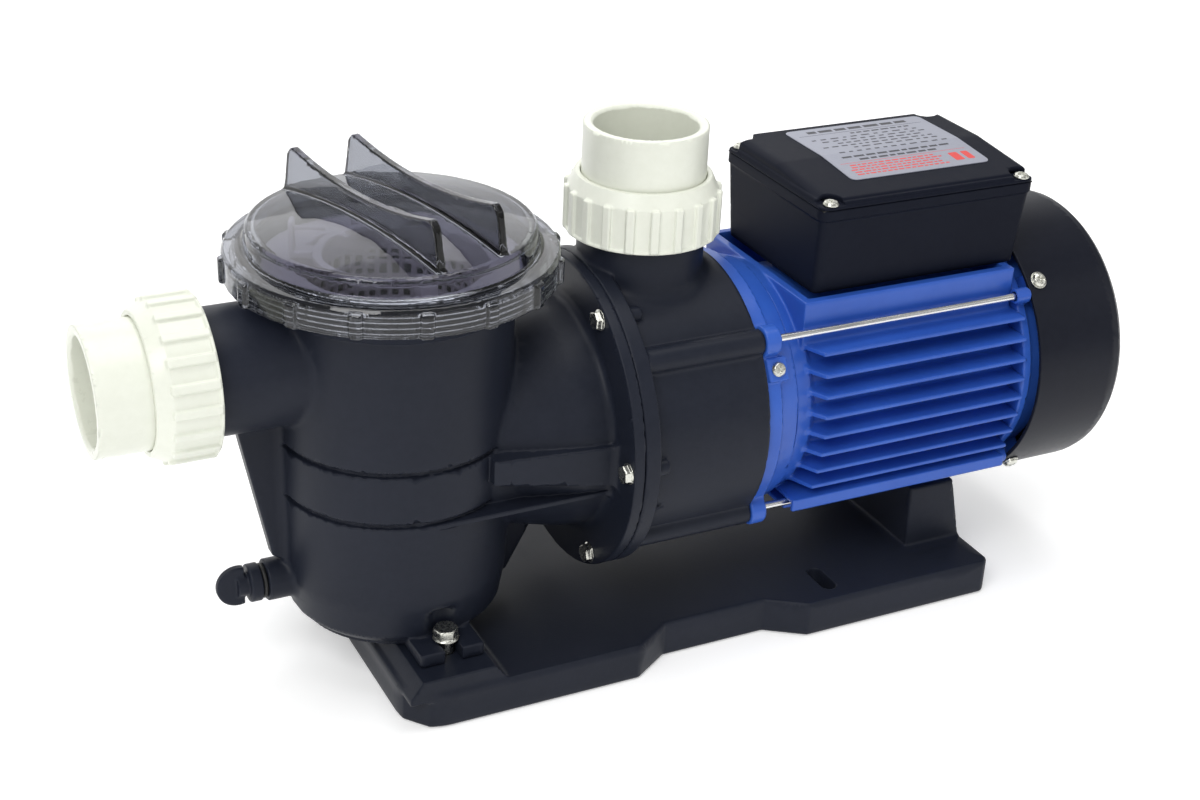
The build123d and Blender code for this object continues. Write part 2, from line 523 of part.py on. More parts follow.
# cover: rim, raised crown with a flat rear half and a front half that falls away
crown = slab_x([(-39.6, 105.7), (-39.6, 110.2), (2.0, 114.0), (39.6, 114.0), (39.6, 105.7)], 203.0, 326.0)
tc = box(TB_X0, TB_X1, -47.0, 47.0, 105.7, 107.4) + crown + box(213.0, 314.0, -46.0, 46.0, 105.7, 109.2)
tc -= slab_x([(-36.6, 104), (-36.6, 107.8), (2.0, 111.4), (36.6, 111.4), (36.6, 104)], 206.0, 323.0)
for x in (207.0, 320.0):
    for y in (-43.0, 43.0):
        tc -= cyl_z(5.6, 107.4, 116.0, x, y)
        tc -= cyl_z(2.0, 104.0, 116.0, x, y)
tc -= slab_y([(202.0, 110.5), (202.0, 115), (211.0, 115), (211.0, 114.1)], -45, 45)
parts["terminal_box_cover"] = tc


def box_screw(x, y):
    s = cyl_z(1.8, 90.0, 108.0, x, y) + cyl_z(4.0, 107.4, 109.6, x, y)
    return s - (box(x - 0.4, x + 0.4, y - 2.4, y + 2.4, 108.8, 111) + box(x - 2.4, x + 2.4, y - 0.4, y + 0.4, 108.8, 111))


parts["terminal_box_screws"] = Compound(children=[box_screw(x, y) for x in (207.0, 320.0) for y in (-43.0, 43.0)])
k_sl = (114.0 - 110.2) / 41.6
parts["rating_label"] = slab_x([(-27.5, 114.0 - k_sl * 29.5), (2.0, 114.0), (38.5, 114.0), (38.5, 114.35), (2.0, 114.35),
                                (-27.5, 114.35 - k_sl * 29.5)], 229.0, 312.0)
parts["capacitor"] = cyl_x(17.0, 212.0, 282.0, 18.0, 82.5) + cyl_x(9.0, 282.0, 286.0, 18.0, 82.5) + box(286.0, 292.0, 12.0, 14.0, 80.0, 85.0) \
    + box(286.0, 292.0, 22.0, 24.0, 80.0, 85.0) + box(225.0, 270.0, 10.0, 26.0, SEAT_Z + 3.0, 68.0)
tbl = box(225.0, 290.0, -34.0, -12.0, SEAT_Z + 3.0, 74.0)
for i in range(6):
    x = 231.0 + 10.6 * i
    tbl += cyl_z(2.0, 73.5, 82.0, x, -23.0) + cyl_z(3.6, 74.0, 76.5, x, -23.0)
parts["terminal_block"] = tbl
gl = cyl_y(7.9, 41.0, 47.0, 296.0, 86.0) + (Pos(296.0, 47.5, 86.0) * Rot(-90, 0, 0) * hexagon(20.0, 5.0)) \
    + cyl_y(9.0, 52.0, 55.0, 296.0, 86.0) + (Pos(296.0, 55.0, 86.0) * Rot(-90, 0, 0) * hexagon(18.0, 9.0)) \
    + cyl_y(7.5, 64.0, 67.5, 296.0, 86.0) + cyl_y(8.0, 40.0, 47.8, 296.0, 86.0)
gl -= cyl_y(4.5, 35.0, 70.0, 296.0, 86.0)
parts["cable_gland"] = gl

# ------------------------------------------------------------------ base
outline = [(BASE_X0, -62), (-15, -BASE_Y), (98.0, -BASE_Y), (118.0, -66.2), (175.5, -66.2), (195.0, -BASE_Y),
           (303.0, -BASE_Y), (BASE_X1, -74), (BASE_X1, 74), (303.0, BASE_Y), (195.0, BASE_Y), (175.5, 66.2),
           (118.0, 66.2), (98.0, BASE_Y), (-15, BASE_Y), (BASE_X0, 62)]
base = slab_z(outline, BASE_BOT, BASE_TOP)
plat = slab_y([(-20.5, BASE_TOP - 1), (-20.5, -92), (-15, PLAT_TOP), (21.5, PLAT_TOP), (27.5, BASE_TOP), (27.5, BASE_TOP - 1)], -77.5, 77.5)
for s in (-1, 1):
    edge = make_face(Polyline([(-30, s * 70.5, PLAT_TOP), (-30, s * 78.5, PLAT_TOP), (-30, s * 78.5, BASE_TOP)], close=True))
    plat -= extrude(edge, amount=70, dir=(1, 0, 0))
base += plat
saddle = slab_y([(273.0, BASE_TOP - 1), (273.6, SADDLE_TOP), (301.0, SADDLE_TOP), (308.0, BASE_TOP - 1)], -50.0, 50.0)
for s in (-1, 1):
    e = make_face(Polyline([(260, s * 47.5, SADDLE_TOP), (260, s * 51, SADDLE_TOP), (260, s * 51, BASE_TOP)], close=True))
    saddle -= extrude(e, amount=60, dir=(1, 0, 0))
base += saddle
# hollow underside between ribs
for x0, x1 in ((-16, 30), (34, 92), (122, 172), (200, 268)):
    ylim = 74.0 if (x1 < 95 or x0 > 196) else 61.0
    for y0, y1 in ((-ylim, -2.0), (2.0, ylim)):
        base -= box(x0, x1, y0, y1, BASE_BOT - 1, BASE_TOP - 4.0)
base -= box(278.0, 297.0, -45.0, 45.0, BASE_BOT - 1, SADDLE_TOP - 4.5)
for s in (-1, 1):
    base += cyl_z(11.0, BASE_BOT, BASE_TOP - 3, FOOT_BOLT_X, s * FOOT_BOLT_Y)
    y0, y1 = sorted((s * 46.0, s * 73.0))
    base += box(205.0, 223.0, y0, y1, BASE_BOT, BASE_TOP - 3)
for s in (-1, 1):
    base -= cyl_z(4.2, BASE_BOT - 1, PLAT_TOP + 1, FOOT_BOLT_X, s * FOOT_BOLT_Y)
    base -= Pos(FOOT_BOLT_X, s * FOOT_BOLT_Y, BASE_BOT - 0.01) * hexagon(13.3, 7.0)
    half = SLOT_L / 2 - SLOT_W / 2
    base -= box(SLOT_X - SLOT_W / 2, SLOT_X + SLOT_W / 2, s * SLOT_Y - half, s * SLOT_Y + half, BASE_BOT - 1, BASE_TOP + 1)
    base -= cyl_z(SLOT_W / 2, BASE_BOT - 1, BASE_TOP + 1, SLOT_X, s * SLOT_Y - half)
    base -= cyl_z(SLOT_W / 2, BASE_BOT - 1, BASE_TOP + 1, SLOT_X, s * SLOT_Y + half)
    base -= cyl_z(2.9, SADDLE_TOP - 6, SADDLE_TOP + 1, 288.0, s * 25.0)
parts["base"] = base


def foot_bolt(y):
    b = cyl_z(4.0, -111.5, -80.0, FOOT_BOLT_X, y) + cyl_z(7.6, -80.0, -78.4, FOOT_BOLT_X, y)
    return b + Pos(FOOT_BOLT_X, y, -78.4) * Rot(0, 0, 15) * hexagon(12.6, 5.6)


parts["base_bolts"] = Compound(children=[foot_bolt(s * FOOT_BOLT_Y) for s in (-1, 1)])
parts["base_nuts"] = Compound(children=[
    Pos(FOOT_BOLT_X, s * FOOT_BOLT_Y, BASE_BOT + 0.6) * hexagon(13.0, 6.0) - cyl_z(4.0, -120, -100, FOOT_BOLT_X, s * FOOT_BOLT_Y)
    for s in (-1, 1)])
parts["saddle_screws"] = Compound(children=[
    cyl_z(2.5, SADDLE_TOP - 4.5, -52.5, 288.0, s * 25.0) + cyl_z(4.6, SADDLE_TOP - 8.0, SADDLE_TOP - 4.5, 288.0, s * 25.0)
    for s in (-1, 1)])

# ------------------------------------------------------------------ write
os.makedirs("parts", exist_ok=True)
MOVE = Pos(POT_X, 0, SHAFT_H)
for name, shape in parts.items():
    export_step(MOVE * shape, "parts/" + name + ".step")
print(len(parts), "pieces; pot axis at x =", POT_X)
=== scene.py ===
import json
import math

import bpy
import numpy as np
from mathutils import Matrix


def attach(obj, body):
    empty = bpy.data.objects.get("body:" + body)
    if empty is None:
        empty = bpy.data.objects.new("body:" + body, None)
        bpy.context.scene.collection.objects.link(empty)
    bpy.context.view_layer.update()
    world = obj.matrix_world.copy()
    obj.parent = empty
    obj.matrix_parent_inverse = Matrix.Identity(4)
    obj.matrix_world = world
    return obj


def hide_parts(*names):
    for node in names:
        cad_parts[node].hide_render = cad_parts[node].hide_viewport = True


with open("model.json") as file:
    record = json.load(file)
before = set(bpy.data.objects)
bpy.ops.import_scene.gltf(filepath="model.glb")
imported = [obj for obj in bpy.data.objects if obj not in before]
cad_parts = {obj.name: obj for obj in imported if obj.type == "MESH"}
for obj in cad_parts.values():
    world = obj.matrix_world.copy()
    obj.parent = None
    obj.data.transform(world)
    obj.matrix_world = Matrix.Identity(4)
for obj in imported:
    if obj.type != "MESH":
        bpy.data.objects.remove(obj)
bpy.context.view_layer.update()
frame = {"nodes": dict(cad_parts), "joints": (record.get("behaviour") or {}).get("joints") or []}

import openvdb as vdb
from mathutils import Matrix, Vector

JOINT = {j["name"]: j for j in frame["joints"]}
# the pieces below are drawn in millimetres about the crossing of the strainer
# axis and the shaft axis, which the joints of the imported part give
OX = JOINT["lid_turn"]["pos_m"][0] * 1000.0
OZ = JOINT["shaft_spin"]["pos_m"][2] * 1000.0
ORIGIN = np.array([OX, 0.0, OZ])
SUC_Z = JOINT["suction_nut_turn"]["pos_m"][2] * 1000.0 - OZ
DIS_X = JOINT["discharge_nut_turn"]["pos_m"][0] * 1000.0 - OX
F4 = np.float32
COARSE = 1.0


# ---------------------------------------------------------------- distance fields
def L(a, b):
    return np.sqrt(a * a + b * b)


def smin(a, b, k):
    h = np.maximum(k - np.abs(a - b), 0.0) / k
    return np.minimum(a, b) - h * h * (k * 0.25)


def smax(a, b, k):
    h = np.maximum(k - np.abs(a - b), 0.0) / k
    return np.maximum(a, b) + h * h * (k * 0.25)


def span(t, lo, hi):
    return np.abs(t - (lo + hi) * 0.5) - (hi - lo) * 0.5


def ext(a, b, r=0.0):
    """Two slabs' distances crossed, with the corner rounded by r."""
    a = a + r
    b = b + r
    return np.minimum(np.maximum(a, b), 0.0) + L(np.maximum(a, 0.0), np.maximum(b, 0.0)) - r


def cyl(rad, t, R, lo, hi, r=0.0):
    return ext(rad - R, span(t, lo, hi), r)


def tube(rad, t, r0, r1, lo, hi, r=0.0):
    return ext(span(rad, r0, r1), span(t, lo, hi), r)


def bx(x, y, z, x0, x1, y0, y1, z0, z1, r=0.0):
    a, b, c = span(x, x0, x1) + r, span(y, y0, y1) + r, span(z, z0, z1) + r
    o = np.sqrt(np.maximum(a, 0) ** 2 + np.maximum(b, 0) ** 2 + np.maximum(c, 0) ** 2)
    return o + np.minimum(np.maximum(np.maximum(a, b), c), 0.0) - r


def inset(pts, d):
    """Closed outline moved inwards by d, corners kept sharp."""
    n = len(pts)
    area = sum(pts[i][0] * pts[(i + 1) % n][1] - pts[(i + 1) % n][0] * pts[i][1] for i in range(n))
    s = 1.0 if area > 0 else -1.0
    out = []
    for i in range(n):
        p, q, w = pts[i - 1], pts[i], pts[(i + 1) % n]
        a = np.array([q[0] - p[0], q[1] - p[1]], float)
        b = np.array([w[0] - q[0], w[1] - q[1]], float)
        a /= np.linalg.norm(a)
        b /= np.linalg.norm(b)
        na, nb = np.array([-a[1], a[0]]) * s, np.array([-b[1], b[0]]) * s
        m = na + nb
        m /= max(1.0 + float(na @ nb), 0.25)
        out.append((q[0] + m[0] * d, q[1] + m[1] * d))
    return out


def poly(u, v, pts, r=0.0):
    if r:
        pts = inset(pts, r)
    u = u.astype(F4)
    v = v.astype(F4)
    n = len(pts)
    d = np.full(u.shape, 1e9, F4)
    s = np.ones(u.shape, F4)
    for i in range(n):
        ax, ay = pts[i]
        bx_, by_ = pts[i - 1]
        ex, ey = bx_ - ax, by_ - ay
        wx, wy = u - ax, v - ay
        k = np.clip((wx * ex + wy * ey) / (ex * ex + ey * ey), 0, 1)
        qx, qy = wx - ex * k, wy - ey * k
        d = np.minimum(d, qx * qx + qy * qy)
        c1 = v >= ay
        c2 = v < by_
        c3 = ex * wy > ey * wx
        flip = (c1 & c2 & c3) | (~c1 & ~c2 & ~c3)
        s = np.where(flip, -s, s)
    return s * np.sqrt(d) - r


def fold(a, b, n, turn=0.0):
    """Radial copies: returns coordinates turned into the first of n sectors, and the radius."""
    rad = L(a, b)
    step = 2 * math.pi / n
    ang = np.arctan2(b, a) - turn
    ang = ang - step * np.round(ang / step)
    return rad * np.cos(ang), rad * np.sin(ang), rad


def thread(rad, t, ang, crest, depth, pitch, phase=0.0):
    ph = t / pitch - ang / (2 * math.pi) + phase
    fr = ph - np.floor(ph)
    tri = 1.0 - np.abs(2.0 * fr - 1.0)
    k = np.clip((tri - 0.22) / 0.5, 0, 1)
    return (rad - (crest - depth + depth * k * k * (3 - 2 * k))) * 0.8


# ---------------------------------------------------------------- field to mesh
def polygonize(f, lo, hi, h, adapt=0.02, steps=2):
    h = h * COARSE
    lo = np.asarray(lo, float) - 2.3 * h
    hi = np.asarray(hi, float) + 2.3 * h
    n = np.ceil((hi - lo) / (8 * h)).astype(int)
    far = 3.0 * h
    idx = np.stack(np.meshgrid(*[np.arange(k) for k in n], indexing="ij"), -1).reshape(-1, 3)
    mid = (lo + (idx * 8 + 3.5) * h).astype(F4)
    fc = np.concatenate([f(mid[i:i + 400000]) for i in range(0, len(mid), 400000)])
    arr = np.empty((n[0], n[1], n[2], 8, 8, 8), F4)
    arr[:] = np.where(fc < 0, -far, far).reshape(n[0], n[1], n[2])[..., None, None, None]
    act = idx[np.abs(fc) < 8.4 * h]
    o = np.stack(np.meshgrid(*[np.arange(8)] * 3, indexing="ij"), -1).reshape(-1, 3) * h
    for i in range(0, len(act), 1500):
        a = act[i:i + 1500]
        p = ((lo + a * (8 * h))[:, None, :] + o[None]).reshape(-1, 3).astype(F4)
        arr[a[:, 0], a[:, 1], a[:, 2]] = f(p).reshape(-1, 8, 8, 8)
    arr = np.clip(arr.transpose(0, 3, 1, 4, 2, 5).reshape(n[0] * 8, n[1] * 8, n[2] * 8), -far, far)
    grid = vdb.FloatGrid(far)
    grid.copyFromArray(np.ascontiguousarray(arr))
    V, T, Q = grid.convertToPolygons(0.0, adaptivity=adapt)
    V = (V.astype(np.float64) * h + lo)
    e = 0.12 * h

    def grad(P):
        P = P.astype(F4)
        g = np.empty((len(P), 3))
        for k in range(3):
            d = np.zeros(3, F4)
            d[k] = e
            g[:, k] = (f(P + d).astype(np.float64) - f(P - d)) / (2 * e)
        return g

    for _ in range(steps):
        g = grad(V)
        m = np.maximum((g * g).sum(1), 0.2)
        s = np.clip(f(V.astype(F4)) / m, -0.45 * h, 0.45 * h)
        V = V - g * s[:, None]
    g = grad(V)
    N = g / np.maximum(np.linalg.norm(g, axis=1), 1e-6)[:, None]
    # outward winding
    F = T if len(T) else Q[:, :3]
    a, b, c = V[F[:, 0]], V[F[:, 1]], V[F[:, 2]]
    if np.median(np.einsum("ij,ij->i", np.cross(b - a, c - a), N[F[:, 0]])) < 0 or \
            np.einsum("ij,ij->i", np.cross(b - a, c - a), N[F[:, 0]]).sum() < 0:
        T, Q = T[:, ::-1], Q[:, ::-1]
    return V, N, T, Q


def moved(m, mat):
    """A mesh's arrays turned by a 4x4 matrix (millimetres)."""
    V, N, T, Q = m
    A = np.array(mat)
    R = A[:3, :3]
    flip = np.linalg.det(R) < 0
    return V @ R.T + A[:3, 3], N @ R.T, (T[:, ::-1] if flip else T), (Q[:, ::-1] if flip else Q)


def build(name, meshes, body, mat, replaces=None, origin=ORIGIN):
    V, N, T, Q, n = [], [], [], [], 0
    for m in meshes:
        V.append(m[0])
        N.append(m[1])
        T.append(np.asarray(m[2], int).reshape(-1, 3) + n)
        Q.append(np.asarray(m[3], int).reshape(-1, 4) + n)
        n += len(m[0])
    V, N, T, Q = np.concatenate(V), np.concatenate(N), np.concatenate(T), np.concatenate(Q)
    V = (V + origin) * 0.001
    me = bpy.data.meshes.new(name)
    me.vertices.add(len(V))
    me.vertices.foreach_set("co", V.astype(F4).ravel())
    loops = np.concatenate([T.ravel(), Q.ravel()]).astype(np.int32)
    me.loops.add(len(loops))
    me.loops.foreach_set("vertex_index", loops)
    starts = np.concatenate([np.arange(len(T)) * 3, len(T) * 3 + np.arange(len(Q)) * 4]).astype(np.int32)
    me.polygons.add(len(starts))
    me.polygons.foreach_set("loop_start", starts)
    me.update(calc_edges=True)
    me.validate()
    me.shade_smooth()
    if len(me.vertices) == len(N):
        me.normals_split_custom_set_from_vertices(N.tolist())
    ob = bpy.data.objects.new(name, me)
    bpy.context.scene.collection.objects.link(ob)
    me.materials.append(mat)
    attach(ob, body)
    if replaces:
        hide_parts(*([replaces] if isinstance(replaces, str) else replaces))
    print("piece", name, len(V), "verts", len(T) + 2 * len(Q), "tris")
    return ob


def field(name, f, lo, hi, h, body, mat, replaces, adapt=0.02):
    return build(name, [polygonize(f, lo, hi, h, adapt)], body, mat, replaces)


def lathe(pts, seg=96, smooth=0.55):
    """Closed (radius, t) outline turned about +Z; each edge of the outline gets its own rings with that edge's normal,
    so the corners stay sharp.
    """
    n = len(pts)
    V, N, Q = [], [], []
    ang = np.arange(seg) * 2 * math.pi / seg
    for i in range(n):
        (r0, z0), (r1, z1) = pts[i], pts[(i + 1) % n]
        d = L(r1 - r0, z1 - z0)
        if d < 1e-6 or (r0 < 1e-6 and r1 < 1e-6):
            continue
        nr, nz = (z1 - z0) / d, -(r1 - r0) / d
        base = len(V) * seg
        for r, z in ((r0, z0), (r1, z1)):
            V.append(np.stack([r * np.cos(ang), r * np.sin(ang), np.full(seg, z)], 1))
            N.append(np.stack([nr * np.cos(ang), nr * np.sin(ang), np.full(seg, nz)], 1))
        k = np.arange(seg)
        Q.append(np.stack([base + k, base + (k + 1) % seg, base + seg + (k + 1) % seg, base + seg + k], 1))
    return np.concatenate(V), np.concatenate(N), np.zeros((0, 3), int), np.concatenate(Q)


EYE = np.eye(4)


def tr(x, y, z):
    m = np.eye(4)
    m[:3, 3] = (x, y, z)
    return m


def rx(deg):
    c, s = math.cos(math.radians(deg)), math.sin(math.radians(deg))
    return np.array([[1, 0, 0, 0], [0, c, -s, 0], [0, s, c, 0], [0, 0, 0, 1.0]])


def ry(deg):
    c, s = math.cos(math.radians(deg)), math.sin(math.radians(deg))
    return np.array([[c, 0, s, 0], [0, 1, 0, 0], [-s, 0, c, 0], [0, 0, 0, 1.0]])


def rz(deg):
    c, s = math.cos(math.radians(deg)), math.sin(math.radians(deg))
    return np.array([[c, -s, 0, 0], [s, c, 0, 0], [0, 0, 1, 0], [0, 0, 0, 1.0]])


SUCT = tr(0, 0, SUC_Z) @ ry(-90)
DISCH = tr(DIS_X, 0, 0)


# ---------------------------------------------------------------- materials
def tree(name):
    m = bpy.data.materials.new(name)
    m.use_nodes = True
    nt = m.node_tree
    nt.nodes.clear()
    out = nt.nodes.new("ShaderNodeOutputMaterial")
    return m, nt, out


def noise(nt, scale, detail=4.0, rough=0.55, stretch=None, seed=0.0):
    co = nt.nodes.new("ShaderNodeTexCoord")
    mp = nt.nodes.new("ShaderNodeMapping")
    mp.inputs["Location"].default_value = (seed, seed * 0.7, seed * 1.3)
    if stretch:
        mp.inputs["Scale"].default_value = stretch
    nt.links.new(co.outputs["Object"], mp.inputs["Vector"])
    t = nt.nodes.new("ShaderNodeTexNoise")
    t.inputs["Scale"].default_value = scale
    t.inputs["Detail"].default_value = detail
    t.inputs["Roughness"].default_value = rough
    nt.links.new(mp.outputs["Vector"], t.inputs["Vector"])
    return t.outputs["Fac"]


def ramp(nt, fac, stops):
    r = nt.nodes.new("ShaderNodeValToRGB")
    e = r.color_ramp.elements
    e[0].position, e[0].color = stops[0][0], (*stops[0][1], 1)
    e[1].position, e[1].color = stops[-1][0], (*stops[-1][1], 1)
    for p, c in stops[1:-1]:
        k = e.new(p)
        k.color = (*c, 1)
    nt.links.new(fac, r.inputs["Fac"])
    return r.outputs["Color"]


def rng(nt, fac, lo, hi, a=0.3, b=0.7):
    r = nt.nodes.new("ShaderNodeMapRange")
    r.inputs["From Min"].default_value = a
    r.inputs["From Max"].default_value = b
    r.inputs["To Min"].default_value = lo
    r.inputs["To Max"].default_value = hi
    nt.links.new(fac, r.inputs["Value"])
    return r.outputs["Result"]


def mathn(nt, op, a, b):
    m = nt.nodes.new("ShaderNodeMath")
    m.operation = op
    for i, v in enumerate((a, b)):
        if isinstance(v, (int, float)):
            m.inputs[i].default_value = v
        else:
            nt.links.new(v, m.inputs[i])
    return m.outputs[0]


def bump(nt, fac, distance, strength=1.0, after=None):
    b = nt.nodes.new("ShaderNodeBump")
    b.inputs["Strength"].default_value = strength
    b.inputs["Distance"].default_value = distance
    nt.links.new(fac, b.inputs["Height"])
    if after is not None:
        nt.links.new(after, b.inputs["Normal"])
    return b.outputs["Normal"]


def principled(nt, out, **kw):
    p = nt.nodes.new("ShaderNodeBsdfPrincipled")
    for k, v in kw.items():
        p.inputs[k.replace("_", " ")].default_value = v
    nt.links.new(p.outputs["BSDF"], out.inputs["Surface"])
    return p


def plastic(name, base, light, rough, grain=900.0, gdist=0.00005, spec=0.5, coat=0.0, scuff=True, seed=0.0):
    m, nt, out = tree(name)
    p = principled(nt, out)
    p.inputs["Specular IOR Level"].default_value = spec
    p.inputs["Coat Weight"].default_value = coat
    p.inputs["Coat Roughness"].default_value = 0.25
    big = noise(nt, 11.0, 5.0, 0.6, seed=seed)
    fine = noise(nt, 260.0, 3.0, 0.6, seed=seed + 3)
    mix = mathn(nt, "ADD", mathn(nt, "MULTIPLY", big, 0.7), mathn(nt, "MULTIPLY", fine, 0.3))
    nt.links.new(ramp(nt, mix, [(0.32, base), (0.72, light)]), p.inputs["Base Color"])
    rr = rng(nt, mix, rough[0], rough[1])
    if scuff:
        sc = noise(nt, 60.0, 6.0, 0.75, stretch=(1.0, 0.16, 2.4), seed=seed + 9)
        rr = mathn(nt, "ADD", rr, rng(nt, sc, 0.0, 0.09, 0.6, 0.75))
    nt.links.new(rr, p.inputs["Roughness"])
    n1 = bump(nt, noise(nt, 95.0, 2.0, 0.5, seed=seed + 5), 0.00009, 0.35)
    nt.links.new(bump(nt, noise(nt, grain, 2.0, 0.6, seed=seed + 1), gdist, 0.8, n1), p.inputs["Normal"])
    return m


def paint(name, base, light, rough=(0.28, 0.42), seed=0.0):
    m, nt, out = tree(name)
    p = principled(nt, out)
    p.inputs["Coat Weight"].default_value = 0.10
    p.inputs["Specular IOR Level"].default_value = 0.32
    p.inputs["Coat Roughness"].default_value = 0.18
    big = noise(nt, 16.0, 5.0, 0.62, seed=seed)
    nt.links.new(ramp(nt, big, [(0.3, base), (0.72, light)]), p.inputs["Base Color"])
    nt.links.new(rng(nt, noise(nt, 130.0, 4.0, 0.6, seed=seed + 2), *rough), p.inputs["Roughness"])
    n1 = bump(nt, noise(nt, 330.0, 3.0, 0.5, seed=seed + 4), 0.00011, 0.5)
    nt.links.new(bump(nt, noise(nt, 55.0, 3.0, 0.5, seed=seed + 6), 0.00025, 0.4, n1), p.inputs["Normal"])
    return m


def metal(name, base, light, rough, stretch=(1, 1, 1), scale=400.0, seed=0.0, bumpd=0.00003):
    m, nt, out = tree(name)
    p = principled(nt, out)
    p.inputs["Metallic"].default_value = 1.0
    a = noise(nt, scale, 4.0, 0.65, stretch=stretch, seed=seed)
    nt.links.new(ramp(nt, a, [(0.3, base), (0.7, light)]), p.inputs["Base Color"])
    nt.links.new(rng(nt, a, *rough), p.inputs["Roughness"])
    nt.links.new(bump(nt, a, bumpd, 0.5), p.inputs["Normal"])
    return m


def clear(name, tint, rough):
    m, nt, out = tree(name)
    p = nt.nodes.new("ShaderNodeBsdfPrincipled")
    p.inputs["Base Color"].default_value = (*tint, 1)
    p.inputs["Transmission Weight"].default_value = 1.0
    p.inputs["IOR"].default_value = 1.49
    nt.links.new(rng(nt, noise(nt, 35.0, 5.0, 0.65, stretch=(1, 1, 0.6)), *rough), p.inputs["Roughness"])
    nt.links.new(bump(nt, noise(nt, 70.0, 3.0, 0.55), 0.00006, 0.5), p.inputs["Normal"])
    t = nt.nodes.new("ShaderNodeBsdfTransparent")
    t.inputs["Color"].default_value = (0.75, 0.76, 0.80, 1)
    lp = nt.nodes.new("ShaderNodeLightPath")
    mx = nt.nodes.new("ShaderNodeMixShader")
    nt.links.new(lp.outputs["Is Shadow Ray"], mx.inputs[0])
    nt.links.new(p.outputs["BSDF"], mx.inputs[1])
    nt.links.new(t.outputs["BSDF"], mx.inputs[2])
    nt.links.new(mx.outputs[0], out.inputs["Surface"])
    return m


BLACK = plastic("moulded_black", (0.0095, 0.0120, 0.0205), (0.017, 0.020, 0.0315), (0.36, 0.50), spec=0.17)
BOXBLK = plastic("box_black", (0.0055, 0.0070, 0.0140), (0.0095, 0.0115, 0.0200), (0.42, 0.55), grain=1500.0, gdist=0.00004, seed=4.0, spec=0.06)
COVERBLK = plastic("cover_enamel", (0.0060, 0.0072, 0.0135), (0.0100, 0.0118, 0.0200), (0.30, 0.42), grain=2200.0, gdist=0.00002, coat=0.05, seed=7.0, spec=0.13)
BLUE = paint("motor_blue_enamel", (0.022, 0.085, 0.42), (0.035, 0.12, 0.52))
WHITE = plastic("union_pvc", (0.74, 0.76, 0.66), (0.82, 0.84, 0.75), (0.25, 0.38), grain=500.0, gdist=0.00002, scuff=False, seed=2.0)
CLEAR = clear("lid_clear", (0.24, 0.252, 0.288), (0.015, 0.07))
BASKET = plastic("basket_grey", (0.66, 0.59, 0.66), (0.74, 0.67, 0.74), (0.4, 0.5), scuff=False, seed=5.0)
STEEL = metal("plated_steel", (0.52, 0.52, 0.46), (0.78, 0.78, 0.72), (0.18, 0.38), scale=700.0)
ROD = metal("drawn_rod", (0.62, 0.62, 0.62), (0.86, 0.86, 0.85), (0.16, 0.30), stretch=(0.03, 1, 1), scale=900.0)
GROUND = metal("ground_steel", (0.45, 0.45, 0.46), (0.66, 0.66, 0.68), (0.15, 0.32), stretch=(1, 0.1, 0.1))
LAM = metal("lamination_stack", (0.16, 0.16, 0.17), (0.36, 0.36, 0.38), (0.35, 0.55), stretch=(3.5, 0.05, 0.05), scale=900.0, bumpd=0.0001)
COPPER = metal("enamelled_copper", (0.36, 0.11, 0.03), (0.62, 0.24, 0.08), (0.22, 0.4), stretch=(1, 4, 4), scale=300.0, bumpd=0.0003)
RUBBER = plastic("seal_rubber_black", (0.010, 0.010, 0.010), (0.018, 0.018, 0.018), (0.5, 0.65), scuff=False, seed=11.0)
CARBON = plastic("seal_carbon_grey", (0.03, 0.03, 0.032), (0.05, 0.05, 0.052), (0.2, 0.3), scuff=False, seed=12.0)
CERAMIC = plastic("seal_ceramic_white", (0.78, 0.76, 0.70), (0.86, 0.84, 0.79), (0.08, 0.15), scuff=False, seed=13.0)
CAN = plastic("capacitor_white", (0.62, 0.62, 0.60), (0.74, 0.74, 0.72), (0.3, 0.4), scuff=False, seed=14.0)
LABEL = metal("label_foil", (0.28, 0.29, 0.35), (0.34, 0.355, 0.42), (0.36, 0.48), stretch=(1, 6, 1), scale=350.0)
LABEL.node_tree.nodes["Principled BSDF"].inputs["Metallic"].default_value = 0.25
INK = plastic("label_ink", (0.03, 0.03, 0.04), (0.06, 0.06, 0.07), (0.5, 0.6), scuff=False, seed=15.0)
INKRED = plastic("label_ink_red", (0.62, 0.05, 0.05), (0.72, 0.08, 0.07), (0.5, 0.6), scuff=False, seed=16.0)

CAD_LOOK = {
    "shaft": GROUND, "rotor_core": LAM, "stator_core": LAM, "stator_windings": COPPER, "impeller": BLACK,
    "diffuser": BLACK, "seal_head": CARBON, "seal_seat": CERAMIC, "slinger": RUBBER,
    "front_bearing_inner_ring": GROUND, "front_bearing_outer_ring": GROUND, "front_bearing_balls": GROUND,
    "rear_bearing_inner_ring": GROUND, "rear_bearing_outer_ring": GROUND, "rear_bearing_balls": GROUND,
    "wave_washer": GROUND, "cooling_fan": BLACK, "capacitor": CAN, "terminal_block": CAN,
    "casing_o_ring": RUBBER, "lid_o_ring": RUBBER, "suction_o_ring": RUBBER, "discharge_o_ring": RUBBER,
    "drain_plug_o_ring": RUBBER, "terminal_box_gasket": RUBBER, "base_nuts": STEEL, "saddle_screws": STEEL,
}
for node, look in CAD_LOOK.items():
    ob = frame["nodes"][node]
    if not ob.data.materials:
        ob.data.materials.append(look)
    for i in range(len(ob.data.materials)):
        ob.data.materials[i] = look


# ---------------------------------------------------------------- unions
def f_tail(P):
    rad, t = L(P[:, 0], P[:, 1]), P[:, 2]
    s = poly(rad, t, [(22.5, 106.3), (32.4, 106.3), (32.4, 110.8), (30.0, 110.8), (30.0, 144.0), (26.2, 144.0),
                      (25.1, 142.9), (25.1, 113.0), (22.5, 113.0)], 0.45)
    return s


